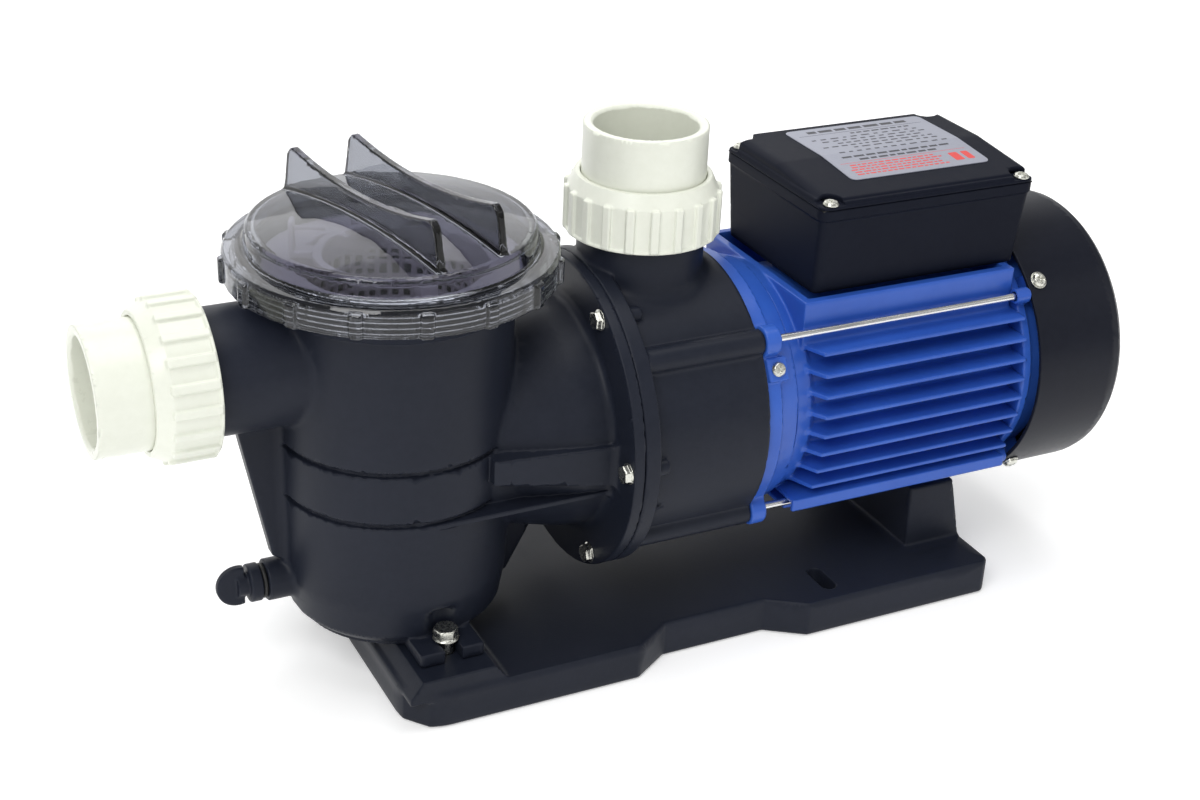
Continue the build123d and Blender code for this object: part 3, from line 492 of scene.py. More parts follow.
def f_nut(P):
    x, y, t = P[:, 0], P[:, 1], P[:, 2]
    gx, gy, rad = fold(x, y, 20)
    s = poly(rad, t, [(31.5, 91.2), (37.3, 91.2), (37.3, 92.3), (36.4, 93.0), (36.4, 112.6), (33.0, 119.8),
                      (30.4, 119.8), (30.4, 111.2), (31.5, 111.2)], 0.5)
    g = bx(gx, gy, t, 33.0, 38.3, -2.1, 2.1, 91.7, 113.4, 0.9)
    s = smin(s, g, 0.9)
    ang = np.arctan2(y, x)
    bore = smax(thread(rad, t, ang, 33.45, 1.15, 3.2), span(t, 80.0, 105.6), 0.4)
    bore = np.minimum(bore, cyl(rad, t, 33.5, 104.8, 111.2))
    bore = np.minimum(bore, poly(rad, t, [(-9, 88.0), (34.6, 88.0), (34.6, 91.6), (33.2, 93.4), (-9, 93.4)]))
    return smax(s, -bore, 0.5)


tail_m = polygonize(f_tail, (-33, -33, 106), (33, 33, 144.5), 0.75)
nut_m = polygonize(f_nut, (-39, -39, 91), (39, 39, 120), 0.62, adapt=0.015)
build("suction_tail_v", [moved(tail_m, SUCT)], "suction_tail_body", WHITE, "suction_tail")
build("discharge_tail_v", [moved(tail_m, DISCH)], "discharge_tail_body", WHITE, "discharge_tail")
build("suction_nut_v", [moved(nut_m, SUCT)], "suction_nut_body", WHITE, "suction_nut")
build("discharge_nut_v", [moved(nut_m, DISCH)], "discharge_nut_body", WHITE, "discharge_nut")


def neck_end(rn, t, ang):
    """Threaded spigot, t from 94 to its sealing face at 106, with the o-ring groove."""
    th = smax(thread(rn, t, ang, 33.0, 1.1, 3.2), span(t, 94.0, 106.0), 0.9)
    th = np.minimum(th, cyl(rn, t, 32.0, 93.5, 106.0, 0.5))
    return smax(th, -tube(rn, t, 25.6, 29.4, 103.4, 109.0), 0.4)


# ---------------------------------------------------------------- strainer housing
def f_housing(P):
    x, y, z = P[:, 0], P[:, 1], P[:, 2]
    ay = np.abs(y)
    rz_, rx_ = L(x, y), L(y, z)
    s = poly(rz_, z, [(-30, -84), (47.5, -84), (52.0, -79.5), (54.8, -62), (56.0, -20), (56.4, -14), (56.4, 76.2), (68, 84.4),
                      (70.5, 86.2), (70.5, 96.5), (-30, 96.5)], 0.9)
    # grooves above and below the belt
    for z0, z1 in ((9.1, 11.7), (-17.5, -15.0)):
        s = smax(s, -tube(rz_, z, 54.2, 60.0, z0, z1, 0.2), 0.5)
    cone = poly(x, rx_, [(0, -20), (0, 38), (30, 45), (55, 52.0), (75, 56.8), (92, 58.6), (92, -20)])
    s = smin(s, cone, 3.0)
    # beside the cone: a strip that widens towards the flange, a deep recess, a thin ledge
    rec = bx(x, ay, z, 0.0, 92.0, -60.0, 47.0, -18.0, -3.0, 0.6)
    s = smin(s, rec, 0.8)
    low = -4.3 - 0.135 * (x - 30.0)
    out = 54.2 + 0.125 * (x - 30.0)
    strip = np.maximum(bx(x, ay, z, 29.0, 92.0, -60.0, 70.0, -30.0, 8.6, 0.5), np.maximum((low - z) * 0.99, (ay - out) * 0.992))
    s = smin(s, strip, 0.8)
    s = smin(s, bx(x, ay, z, 0.0, 90.0, -60.0, 56.5, -20.0, -17.5, 0.4), 0.5)
    s = smin(s, cyl(rx_, x, 79.4, 89.1, 95.0, 0.8), 4.0)
    t, u = -x, z - SUC_Z
    rn = L(u, y)
    s = smin(s, cyl(rn, t, 29.6, 20, 94.6, 0.4), 2.5)
    s = np.minimum(s, neck_end(rn, t, np.arctan2(y, u)))
    s = smin(s, ext(poly(x, z, [(-89, 27), (-77, 20), (-62.5, -49), (-45, -60), (-45, 30)]), ay - 4.0, 1.0), 4.0)
    s = smin(s, ext(poly(x, z, [(40, -40), (78, -40), (70, -62), (58, -84), (40, -84)]), ay - 5.0, 1.0), 3.0)
    rd = L(y, z + 63.5)
    s = smin(s, cyl(rd, t, 10.2, 44, 66.1, 0.8), 3.0)
    s = np.minimum(s, cyl(rz_, z, 46.0, -86.8, -82.0, 0.5))
    s = smin(s, ext(ext(span(x, -12.0, 20.0), span(ay, 40.0, 67.0), 1.6), span(z, -86.8, -80.0), 0.7), 1.4)
    bolt = L(x - 4.5, ay - 56.0)
    slot = np.where(ay < 56.0, bolt, np.abs(x - 4.5)) - 4.2
    s = smax(s, -np.maximum(slot, span(z, -92.0, -78.0)), 0.6)
    s = smax(s, -cyl(bolt, z, 7.4, -80.0, -66.0, 3.0), 3.0)
    # inside
    s = smax(s, -poly(rz_, z, [(-30, -79), (40, -79), (45, -75), (46.4, -64), (51.5, -52), (51.5, 80), (62.4, 88.2), (62.4, 130), (-30, 130)]), 0.7)
    s = smax(s, -cyl(rn, t, 22.5, 20, 112), 0.7)
    s = smax(s, -cyl(rx_, x, 22.0, 20, 110), 0.7)
    s = smax(s, -poly(x, rx_, [(58, 26), (58, 46), (76, 52), (90, 55), (100, 57.5), (100, 26)]), 0.7)
    s = smax(s, -tube(rx_, x, 62.2, 65.8, 92.0, 100.0), 0.3)
    s = smax(s, -cyl(rd, t, 6.3, 38, 75), 0.7)
    # shallow lid thread on the collar
    th = thread(rz_, z, np.arctan2(y, x), 70.9, 1.1, 2.6)
    return smax(s, np.where(z > 87.2, th, -9.0), 0.4)


field("strainer_housing_v", f_housing, (-107, -80, -88), (96, 80, 97), 1.15, "root", BLACK, "strainer_housing", adapt=0.03)


# ---------------------------------------------------------------- pump casing
def f_casing(P):
    x, y, z = P[:, 0], P[:, 1], P[:, 2]
    rx_ = L(y, z)
    s = cyl(rx_, x, 71.8, 100.0, 166.5, 0.9)
    rn = L(x - DIS_X, y)
    s = smin(s, cyl(rn, z, 31.0, 30, 94.6, 0.4), 6.0)
    s = np.minimum(s, neck_end(rn, z, np.arctan2(y, x - DIS_X)))
    s = smin(s, cyl(L(np.abs(y) - 54.2, np.abs(z) - 46.7), x, 6.4, 101.0, 166.5, 0.8), 1.3)
    s = smin(s, cyl(rx_, x, 79.4, 95.0, 103.0, 0.8), 2.2)
    gy, gz, _ = fold(y, z, 6)
    s = smin(s, cyl(L(gy - 73.0, gz), x, 4.0, 101.0, 109.5, 1.0), 1.2)
    wx, wy, _ = fold(y, z, 6, math.radians(20))
    s = smin(s, ext(poly(x, wx, [(101, 60), (101, 75.5), (104.5, 75.5), (112.5, 71.2), (112.5, 60)]), np.abs(wy) - 1.4, 0.5), 1.0)
    s = smax(s, -poly(x, rx_, [(90, -10), (90, 60), (95, 60.0), (101, 66), (149.5, 66), (149.5, -10)]), 0.7)
    s = smax(s, -cyl(rx_, x, 66.0, 155.5, 180), 0.7)
    s = smax(s, -cyl(rx_, x, 17.5, 140, 160), 0.5)
    s = smax(s, -cyl(rn, z, 22.5, 50, 112), 0.7)
    return smax(s, -bx(x, y, z, 158, 163, -8, 8, -78, -60), 0.5)


field("pump_casing_v", f_casing, (94, -80, -80), (168, 80, 107), 1.0, "root", BLACK, "pump_casing", adapt=0.03)


# ---------------------------------------------------------------- screws
def hexd(u, v, af):
    return np.maximum(np.maximum(np.abs(u), np.abs(0.5 * u + 0.8660254 * v)), np.abs(0.5 * u - 0.8660254 * v)) - af / 2


def hex_screw(af, head, wash_r, wash_t, shank_r, shank_l):
    def f(P):
        u, v, t = P[:, 0], P[:, 1], P[:, 2]
        rad = L(u, v)
        s = poly(rad, t, [(-3, 0.0), (wash_r, 0.0), (wash_r, wash_t * 0.55), (wash_r - 0.7, wash_t), (-3, wash_t)], 0.15)
        h = ext(hexd(u, v, af), span(t, wash_t - 0.3, wash_t + head), 0.18)
        h = smax(h, (rad - af * 0.515 + (t - wash_t - head) * 1.7 + 0.3) * 0.507, 0.3)
        s = smin(s, h, 0.5)
        sh = cyl(rad, t, shank_r, -shank_l, 0.5, 0.3)
        ang = np.arctan2(v, u)
        sh = smax(sh, np.where(t < -9.0, thread(rad, t, ang, shank_r, shank_r * 0.14, shank_r * 0.36), -9.0), 0.2)
        return np.minimum(s, sh)
    return polygonize(f, (-wash_r, -wash_r, -shank_l), (wash_r, wash_r, wash_t + head), 0.36, adapt=0.01)


def pan_screw(r, h, shank_r, shank_l, wash=None, slot=2.4):
    def f(P):
        u, v, t = P[:, 0], P[:, 1], P[:, 2]
        rad = L(u, v)
        s = poly(rad, t, [(-3, 0), (r, 0), (r, h * 0.3), (r * 0.8, h * 0.78), (r * 0.45, h), (-3, h)], 0.25)
        rec = np.minimum(ext(np.abs(u) - slot, np.abs(v) - 0.42, 0.1), ext(np.abs(v) - slot, np.abs(u) - 0.42, 0.1))
        s = smax(s, -np.maximum(rec, h * 0.45 - t + np.abs(rad) * 0.35), 0.15)
        if wash:
            s = np.minimum(s, tube(rad, t, shank_r, wash[0], -wash[1], 0.05, 0.2))
        return np.minimum(s, cyl(rad, t, shank_r, -shank_l, 0.3, 0.2))
    w = wash[0] if wash else r
    return polygonize(f, (-w, -w, -shank_l), (w, w, h), 0.27, adapt=0.01)


fb = hex_screw(8.0, 2.9, 5.2, 0.9, 3.0, 16.0)
build("flange_bolts_v", [moved(fb, rx(60 * k) @ tr(89.1, 73.0, 0) @ ry(-90) @ rz(11 * k)) for k in range(6)],
      "root", STEEL, "flange_bolts")
gb = hex_screw(10.6, 4.8, 6.4, 1.3, 4.0, 31.0)
build("base_bolts_v", [moved(gb, tr(4.5, s * 56.0, -80.0) @ rz(15)) for s in (-1, 1)], "root", STEEL, "base_bolts")
cs = pan_screw(3.9, 2.3, 2.0, 12.0, wash=(4.6, 0.9))
build("fan_cover_screws_v", [moved(cs, rx(a) @ tr(333.0, 74.9 + 0.3, 0) @ rx(-90) @ rz(20 + a)) for a in (45, 135, 225, 315)],
      "root", STEEL, "fan_cover_screws")
bs = pan_screw(4.0, 2.2, 1.8, 17.0)
build("terminal_box_screws_v", [moved(bs, tr(x, y, 107.4) @ rz(x + y)) for x in (207.0, 320.0) for y in (-43.0, 43.0)],
      "root", STEEL, "terminal_box_screws")
es = pan_screw(3.7, 2.4, 2.0, 6.0, slot=2.2)
build("earth_screw_v", [moved(es, rx(-28.9) @ tr(173.9, -70.3, 0) @ rx(90))], "root", STEEL, "earth_screw")
rod = lathe([(0, 128.2), (1.5, 128.2), (1.9, 128.8), (1.9, 323.2), (1.5, 323.8), (0, 323.8)], 32)
build("tie_rods_v", [moved(rod, tr(0, a * 54.2, b * 46.7) @ ry(90)) for a in (-1, 1) for b in (-1, 1)], "root", ROD, "tie_rods")


# ---------------------------------------------------------------- motor bracket, housing, end shield
def f_bracket(P):
    x, y, z = P[:, 0], P[:, 1], P[:, 2]
    rx_ = L(y, z)
    s = poly(x, rx_, [(166.8, 58), (166.8, 68.9), (175.2, 68.9), (175.2, 66.6), (187.0, 63.6), (187.0, 57), (176, 57), (176, 58)], 0.7)
    s = np.minimum(s, tube(rx_, x, 60.0, 65.9, 161.0, 168.0, 0.5))
    re = L(np.abs(y) - 54.2, np.abs(z) - 46.7)
    s = smin(s, cyl(re, x, 7.4, 166.8, 175.2, 1.0), 3.0)
    c, n = math.cos(math.radians(28.9)), math.sin(math.radians(28.9))
    yy, zz = y * c - z * n, y * n + z * c
    s = smin(s, bx(x, yy, zz, 168.3, 179.5, -70.3, -62.0, -5.8, 5.8, 0.8), 1.2)
    s = np.minimum(s, poly(x, rx_, [(170, 12), (170, 61), (175, 61), (176, 26), (188, 25), (188, 20), (176, 20), (176, 12)], 0.4))
    gy, gz, _ = fold(y, z, 3)
    s = smin(s, bx(x, gy, gz, 175.0, 186.0, 24.0, 60.0, -2.0, 2.0, 0.5), 1.5)
    s = smax(s, -cyl(re, x, 2.6, 150, 190), 0.5)
    return smax(s, -np.maximum(L(x - 173.9, zz) - 2.2, span(yy, -90, -62)), 0.4)


field("motor_bracket_v", f_bracket, (160, -72, -72), (189, 72, 72), 0.95, "root", BLUE, "motor_bracket", adapt=0.03)

FIN_Z = (37.0, 26.5, 16.0, 5.5, -5.0, -15.5, -26.0, -36.5, -51.2)


def f_motor(P):
    x, y, z = P[:, 0], P[:, 1], P[:, 2]
    ay = np.abs(y)
    rx_ = L(y, z)
    s = poly(x, rx_, [(187.3, -9), (187.3, 62.6), (196.5, 60.0), (200.8, 56.0), (321.0, 56.0), (321.0, -9)], 0.5)
    k = np.clip(np.round((37.0 - z) / 10.5), 0, 7)
    zc = 37.0 - 10.5 * k
    tip = 69.0 - 0.0051 * zc * zc
    half = 1.05 + 0.35 * np.clip((tip - ay) / 16.0, 0, 1)
    yin = np.sqrt(np.maximum(54.0 ** 2 - zc * zc, 4.0))
    slant = ((x - 200.0) * (tip - yin) - (ay - tip) * 9.0) / np.sqrt((tip - yin) ** 2 + 81.0)
    fin = np.maximum(np.maximum(ay - tip, -slant), x - 321.0)
    s = smin(s, ext(fin, np.abs(z - zc) - half, 0.55), 2.2)
    low = np.maximum(np.maximum(ay - 52.0, 15.0 - ay), span(x, 191.0, 321.0))
    s = smin(s, ext(low, np.abs(z + 51.2) - 1.15, 0.55), 1.8)
    yb = y - 10.0 * np.clip(np.round(y / 10.0), -3, 3)
    s = smin(s, ext(np.maximum(span(x, 200.0, 321.0), span(z, -60.4, -44.0)), np.abs(yb) - 1.1, 0.4), 1.6)
    s = smin(s, np.maximum(bx(x, y, z, 276.0, 300.0, -40, 40, -60.4, -46.0, 0.8), 54.5 - rx_), 1.2)
    shelf = np.minimum(bx(x, ay, z, 190.0, 321.0, 30.0, 61.6, -44.6, -42.4, 0.4), bx(x, ay, z, 190.0, 321.0, 59.4, 61.6, -49.0, -42.4, 0.5))
    s = smin(s, np.maximum(shelf, 54.5 - rx_), 0.8)
    seat = bx(x, y, z, 194.0, 319.5, -49.5, 49.5, 36.0, 60.5, 0.8)
    seat = smax(seat, -bx(x, y, z, 198.5, 315.0, -45, 45, 20, 70, 1.0), 0.6)
    seat = np.maximum(seat, 54.5 - rx_)
    s = smin(s, seat, 1.6)
    s = smax(s, -cyl(rx_, x, 50.3, 150, 400), 0.5)
    return smax(s, -cyl(L(x - 300, y - 12), z, 8.0, 45, 62), 0.4)


field("motor_housing_v", f_motor, (187, -70, -61), (321.5, 70, 61), 0.85, "root", BLUE, "motor_housing", adapt=0.03)


def f_shield(P):
    x, y, z = P[:, 0], P[:, 1], P[:, 2]
    rx_ = L(y, z)
    s = poly(x, rx_, [(321.0, 45), (321.0, 67), (326, 67), (326, 64), (338, 64), (338, 60), (326, 58), (326, 45)], 0.6)
    s = np.minimum(s, poly(x, rx_, [(322.0, 17.5), (322.0, 23.0), (324.0, 46.0), (326.0, 46.0), (328.0, 23.0), (337.0, 22.0),
                                    (337.0, 9.5), (334.4, 9.5), (334.4, 17.5)]))
    re = L(np.abs(y) - 54.2, np.abs(z) - 46.7)
    s = smin(s, cyl(re, x, 3.9, 317.5, 326.0, 0.6), 1.0)
    a = math.atan2(46.7, 54.2)
    u = np.abs(y) * math.cos(a) + np.abs(z) * math.sin(a)
    v = -np.abs(y) * math.sin(a) + np.abs(z) * math.cos(a)
    s = smin(s, bx(x, u, v, 321.0, 326.0, 58.0, 71.0, -3.9, 3.9, 0.7), 1.0)
    gu, gv, _ = fold(y, z, 4, math.pi / 4)
    s = smin(s, bx(x, gu, gv, 328.0, 337.5, 58.5, 71.7, -6.0, 6.0, 0.7), 1.0)
    s = np.maximum(s, -bx(x, y, z, 310.0, 326.2, -50, 50, 60.1, 90))
    return smax(s, -cyl(re, x, 2.5, 300, 323.5), 0.3)


field("rear_end_shield_v", f_shield, (317, -72, -72), (339, 72, 72), 1.0, "root", BLUE, "rear_end_shield", adapt=0.04)


# ---------------------------------------------------------------- fan cover
def f_cover(P):
    x, y, z = P[:, 0], P[:, 1], P[:, 2]
    rx_ = L(y, z)
    s = poly(x, rx_, [(326.4, 72.2), (326.4, 74.2), (374.0, 74.2), (378.0, 73.3), (380.9, 71.0), (382.5, 67.8), (383.0, 64.0), (383.0, -9),
                      (381.0, -9), (381.0, 63.6), (380.4, 67.0), (379.0, 69.6), (377.0, 71.2), (373.6, 72.2)], 0.35)
    gy, gz, _ = fold(y, z, 24)
    k = np.round((np.arctan2(z, y)) / (2 * math.pi / 24))
    inner = np.where(np.mod(k, 2) == 0, 19.0, 27.0)
    sl = L(np.maximum(np.abs(gy - (inner + 60.0) / 2) - (60.0 - inner) / 2, 0.0), gz) - 1.7
    s = smax(s, -np.maximum(sl, 378.5 - x), 0.5)
    return s


field("fan_cover_v", f_cover, (326, -75, -75), (383.5, 75, 75), 0.95, "root", COVERBLK, "fan_cover", adapt=0.03)


# ---------------------------------------------------------------- terminal box
def f_tbox(P):
    x, y, z = P[:, 0], P[:, 1], P[:, 2]
    k = np.clip((102.0 - z) / 41.5, 0, 1)
    wall = ext(ext(span(x, 201.3, 325.2) + 1.4 * k, np.abs(y) - 46.0 + 4.2 * k, 3.2), span(z, 60.5, 104.0), 1.0)
    s = smin(wall, ext(ext(span(x, 200.5, 326.0), np.abs(y) - 47.0, 4.5), span(z, 100.2, 105.5), 0.3), 1.2)
    cav = ext(ext(span(x, 204.5, 322.0) + 1.4 * k, np.abs(y) - 42.8 + 4.2 * k, 2.5), span(z, 63.5, 110.0), 0.8)
    s = smax(s, -cav, 0.5)
    for px in (207.0, 320.0):
        post = L(x - px, np.abs(y) - 43.0)
        s = np.minimum(s, np.maximum(cyl(post, z, 4.5, 85.0, 105.0), wall + 1.6))
    s = smax(s, -cyl(L(x - 300, y - 12), z, 8.0, 50, 66), 0.4)
    return smax(s, -cyl(L(x - 296, z - 86), y, 8.05, 30, 55), 0.4)


field("terminal_box_v", f_tbox, (200, -48, 60), (326.5, 48, 105.5), 0.9, "root", BOXBLK, "terminal_box", adapt=0.03)


def crown_z(y):
    return np.where(y > 2.0, 114.0, 114.0 - (2.0 - y) * (3.8 / 41.6))


def f_tcover(P):
    x, y, z = P[:, 0], P[:, 1], P[:, 2]
    s = ext(ext(span(x, 200.5, 326.0), np.abs(y) - 47.0, 4.5), span(z, 105.7, 107.4), 0.5)
    mid = ext(ext(span(x, 213.0, 314.0), np.abs(y) - 46.0, 1.0), span(z, 105.7, 109.0), 0.7)
    low = ext(ext(span(x, 201.6, 326.0), np.abs(y) - 38.0, 1.0), span(z, 105.7, 109.0), 0.7)
    s = smin(s, np.minimum(mid, low), 0.6)
    cr = np.maximum(span(x, 202.6, 325.4), np.abs(y) - 43.4)
    top = (z - crown_z(y)) * 0.995
    bev = (-(x - 205.5) * 0.6 + (z - crown_z(y))) * 0.857
    c = smax(smax(cr, top, 0.9), bev, 1.0)
    c = np.maximum(c, 105.7 - z)
    s = smin(s, c, 0.6)
    for px in (207.0, 320.0):
        s = smax(s, -cyl(L(x - px, np.abs(y) - 43.0), z, 6.4, 107.4, 125), 0.7)
        s = smax(s, -cyl(L(x - px, np.abs(y) - 43.0), z, 2.0, 100, 120), 0.2)
    u = crown_z(y) - 2.7
    inn = np.maximum(np.maximum(span(x, 206, 323), np.abs(y) - 36.6), np.maximum(z - u, 100 - z))
    return smax(s, -inn, 0.5)


field("terminal_box_cover_v", f_tcover, (200, -48, 105.5), (326.5, 48, 114.5), 0.8, "root", BOXBLK, "terminal_box_cover", adapt=0.02)


# ---------------------------------------------------------------- label: a foil plate that follows the crease
def rounded_rect(x0, x1, y0, y1, r, n=6):
    out = []
    for cx, cy, a0 in ((x1 - r, y1 - r, 0), (x0 + r, y1 - r, 90), (x0 + r, y0 + r, 180), (x1 - r, y0 + r, 270)):
        for i in range(n + 1):
            a = math.radians(a0 + 90 * i / n)
            out.append((cx + r * math.cos(a), cy + r * math.sin(a)))
    return out


def plate(outlines, lift, thick, crease=2.0):
    """Flat pieces laid on the crown: every outline is cut at the crease and given a thickness."""
    V, N, T, n = [], [], [], 0
    for o in outlines:
        parts = []
        ys = [p[1] for p in o]
        if min(ys) < crease < max(ys):
            for keep in (1, -1):
                part = []
                for i in range(len(o)):
                    a, b = o[i - 1], o[i]
                    ia, ib = (a[1] - crease) * keep >= 0, (b[1] - crease) * keep >= 0
                    if ia != ib:
                        f = (crease - a[1]) / (b[1] - a[1])
                        part.append((a[0] + (b[0] - a[0]) * f, crease))
                    if ib:
                        part.append(b)
                parts.append(part)
        else:
            parts.append(o)
        for p in parts:
            m = len(p)
            a = np.array(p)
            zt = crown_z(a[:, 1]) + lift + thick
            top = np.column_stack([a, zt])
            bot = np.column_stack([a, zt - thick])
            side_up, side_dn = top.copy(), bot.copy()
            e = np.roll(a, -1, 0) - np.roll(a, 1, 0)
            sn = np.column_stack([e[:, 1], -e[:, 0], np.zeros(m)])
            area2 = sum(p[i - 1][0] * p[i][1] - p[i][0] * p[i - 1][1] for i in range(m))
            sn = sn / np.maximum(np.linalg.norm(sn, axis=1), 1e-9)[:, None] * (1 if area2 > 0 else -1)
            slope = np.where(a[:, 1].mean() > crease, 0.0, 3.8 / 41.6)
            tn = np.array([0, -slope, 1.0]) / math.sqrt(1 + slope * slope)
            V += [top, bot, side_up, side_dn]
            N += [np.tile(tn, (m, 1)), np.tile(-tn, (m, 1)), sn, sn]
            fan = [(n, n + i, n + i + 1) for i in range(1, m - 1)]
            if area2 < 0:
                fan = [f[::-1] for f in fan]
            T += fan + [tuple(j + m for j in f[::-1]) for f in fan]
            for i in range(m):
                j = (i + 1) % m
                q = [(n + 2 * m + i, n + 3 * m + i, n + 3 * m + j), (n + 2 * m + i, n + 3 * m + j, n + 2 * m + j)]
                T += q if area2 > 0 else [f[::-1] for f in q]
            n += 4 * m
    return np.concatenate(V), np.concatenate(N), np.array(T), np.zeros((0, 4), int)


build("rating_label_v", [plate([rounded_rect(229.0, 312.0, -27.5, 38.5, 3.5)], 0.0, 0.33)], "root", LABEL, "rating_label")
rs = np.random.RandomState(7)


def dashes(y, h, x0, x1, lo, hi, gap):
    out, x = [], x0
    while x < x1 - lo:
        w = min(lo + (hi - lo) * rs.rand(), x1 - x)
        out.append([(x, y - h / 2), (x + w, y - h / 2), (x + w, y + h / 2), (x, y + h / 2)])
        x += w + gap
    return out


ink = dashes(33.2, 3.0, 240, 303, 5.0, 9.0, 1.6)
ink += [[(233, 29.0), (308, 29.0), (308, 29.35), (233, 29.35)]]
ink += dashes(26.3, 1.5, 262, 300, 2.2, 5.5, 1.2)
for i, (a, b) in enumerate(((236, 300), (240, 305), (247, 298), (236, 306), (252, 303), (240, 306))):
    ink += dashes(22.0 - 3.7 * i - (1.2 if i > 4 else 0.0), 1.3, a, b, 1.8, 5.0, 1.3 + 1.6 * rs.rand())
ink += dashes(-3.4, 1.7, 238, 304, 3.0, 6.5, 1.3)
ink += dashes(-7.2, 1.7, 246, 296, 3.0, 6.5, 1.3)
red = [[(233, -10.1), (308, -10.1), (308, -9.8), (233, -9.8)]]
for i in range(5):
    red += dashes(-12.6 - 2.55 * i, 1.2, 234 + rs.rand() * 4, 291 - rs.rand() * 5, 1.6, 4.2, 0.9)
red += [rounded_rect(295.0, 300.4, -22.0, -13.2, 0.8, 3), rounded_rect(302.6, 306.8, -22.0, -13.2, 0.8, 3)]
build("label_print_dark", [plate(ink, 0.33, 0.012)], "root", INK, None)
build("label_print_red", [plate(red, 0.33, 0.012)], "root", INKRED, None)


# ---------------------------------------------------------------- gland
def f_gland(P):
    x, y, z = P[:, 0] - 296.0, P[:, 1], P[:, 2] - 86.0
    rad = L(x, z)
    s = cyl(rad, y, 7.9, 40.0, 56.0, 0.3)
    s = np.minimum(s, smax(ext(hexd(x, z, 20.0), span(y, 47.5, 52.5), 0.4), rad - 11.1, 0.6))
    s = np.minimum(s, poly(rad, y, [(-9, 52.5), (9.0, 52.5), (9.0, 55.0), (-9, 55.0)], 0.3))
    s = np.minimum(s, smax(ext(hexd(x, z, 18.0), span(y, 55.0, 63.0), 0.4), rad - 9.9, 0.6))
    s = smin(s, poly(rad, y, [(-9, 62.0), (8.8, 62.0), (8.6, 64.0), (7.5, 67.5), (-9, 67.5)], 0.4), 0.8)
    return smax(s, -cyl(rad, y, 4.5, 30, 80), 0.6)


field("cable_gland_v", f_gland, (284, 39.5, 74), (308, 68, 98), 0.5, "root", BLACK, "cable_gland", adapt=0.02)


# ---------------------------------------------------------------- base
def f_base(P):
    x, y, z = P[:, 0], P[:, 1], P[:, 2]
    ay = np.abs(y)
    plan = poly(x, ay, [(-22, -30), (308, -30), (308, 75.5), (304.5, 79), (195, 79), (175.5, 66.2), (118, 66.2), (98, 79), (-13, 79), (-22, 66)], 2.5)
    plan = smax(plan, ((-x - 22.0) + (ay - 79.0) + 9.0) * 0.7071, 9.0)
    s = ext(plan, span(z, -114.0, -95.0), 1.6)
    plat = ext(poly(x, z, [(-21.6, -99), (-21.6, -96), (-15.2, -87), (21.5, -87), (27.8, -95.4), (27.8, -99)], 0.9), ay - 78.0, 0.8)
    s = smin(s, plat, 1.8)
    sad = ext(poly(x, z, [(273.0, -99), (273.6, -60.6), (301.0, -60.6), (307.6, -95), (307.6, -99)], 1.0), ay - 50.0, 1.0)
    sad = smax(sad, (ay - 47.5) * 0.995 + (z + 60.6) * 0.0726, 1.5)
    s = smin(s, sad, 2.2)
    for x0, x1 in ((-16, 30), (34, 92), (122, 172), (200, 268)):
        ylim = 74.0 if (x1 < 95 or x0 > 196) else 61.0
        cut = bx(x, ay, z, x0, x1, 2.0, ylim, -130, -99.0, 1.2)
        if x0 < 0:
            cut = np.maximum(cut, -(L(x - 4.5, ay - 56.0) - 11.0))
        if x0 == 200:
            cut = np.maximum(cut, -bx(x, ay, z, 205, 223, 46, 73, -130, -90, 1.0))
        s = smax(s, -np.maximum(cut, plan + 4.0), 1.2)
    s = smax(s, -bx(x, y, z, 278, 297, -45, 45, -130, -65.1, 1.5), 1.2)
    s = smax(s, -(L(x - 214.0, np.maximum(np.abs(ay - 59.5) - 6.5, 0.0)) - 4.0), 0.9)
    s = smax(s, -np.maximum(hexd(x - 4.5, ay - 56.0, 13.3), z + 107.0), 0.4)
    return smax(s, -(L(x - 4.5, ay - 56.0) - 4.2), 0.4)


field("base_v", f_base, (-23, -80, -114.2), (309, 80, -60), 1.3, "root", BLACK, "base", adapt=0.03)


# ---------------------------------------------------------------- lid
def f_lid(P):
    x, y, z = P[:, 0], P[:, 1], P[:, 2]
    rad = L(x, y)
    s = poly(rad, z, [(71.2, 87.9), (76.9, 87.9), (76.9, 99.2), (75.6, 101.2), (68.6, 102.2), (67.4, 103.2), (66.0, 110.2), (64.6, 111.4),
                      (56, 113.0), (46, 114.65), (34, 116.2), (20, 117.4), (0, 118), (-9, 118), (-9, 114.8), (0, 114.8), (20, 114.2),
                      (34, 113.0), (46, 111.4), (56, 109.8), (61.2, 108.9), (62.6, 107.6), (63.4, 100.2), (71.2, 100.2)], 0.6)
    gx, gy, _ = fold(x, y, 16, math.radians(12.7))
    s = smin(s, bx(gx, gy, z, 72.5, 78.85, -3.1, 3.1, 87.6, 99.6, 1.5), 1.2)
    for zz in (89.6, 92.2, 94.8, 97.2):
        s = smax(s, -(L(rad - 71.0, (z - zz) * 1.15) - 0.95), 0.5)
    c, n = math.cos(math.radians(-76)), math.sin(math.radians(-76))
    u, v = x * c + y * n, -x * n + y * c
    av = np.abs(v) - 16.8
    au = np.abs(u)
    # top edge: tips at 133.8, dished to 127.4 in the middle
    R = 235.25
    dish = R - L(u, z - (127.4 + R))
    fin = np.maximum(dish, z - 133.8)
    fin = smax(fin, au - (57.2 + (133.8 - z) * 0.18), 1.5)
    fin = smax(fin, (au + z - 188.3) * 0.7071, 1.0)
    fin = np.maximum(fin, 110.2 + 6.6 * (1 - (rad / 64.6) ** 2) - z)
    half = 2.05 + 0.35 * np.clip((120.0 - z) / 16.0, 0, 1)
    s = smin(s, ext(fin, np.abs(av) - half, 0.7), 1.8)
    return s


field("lid_v", f_lid, (-79, -79, 87), (79, 79, 135), 0.8, "lid_body", CLEAR, "lid", adapt=0.012)


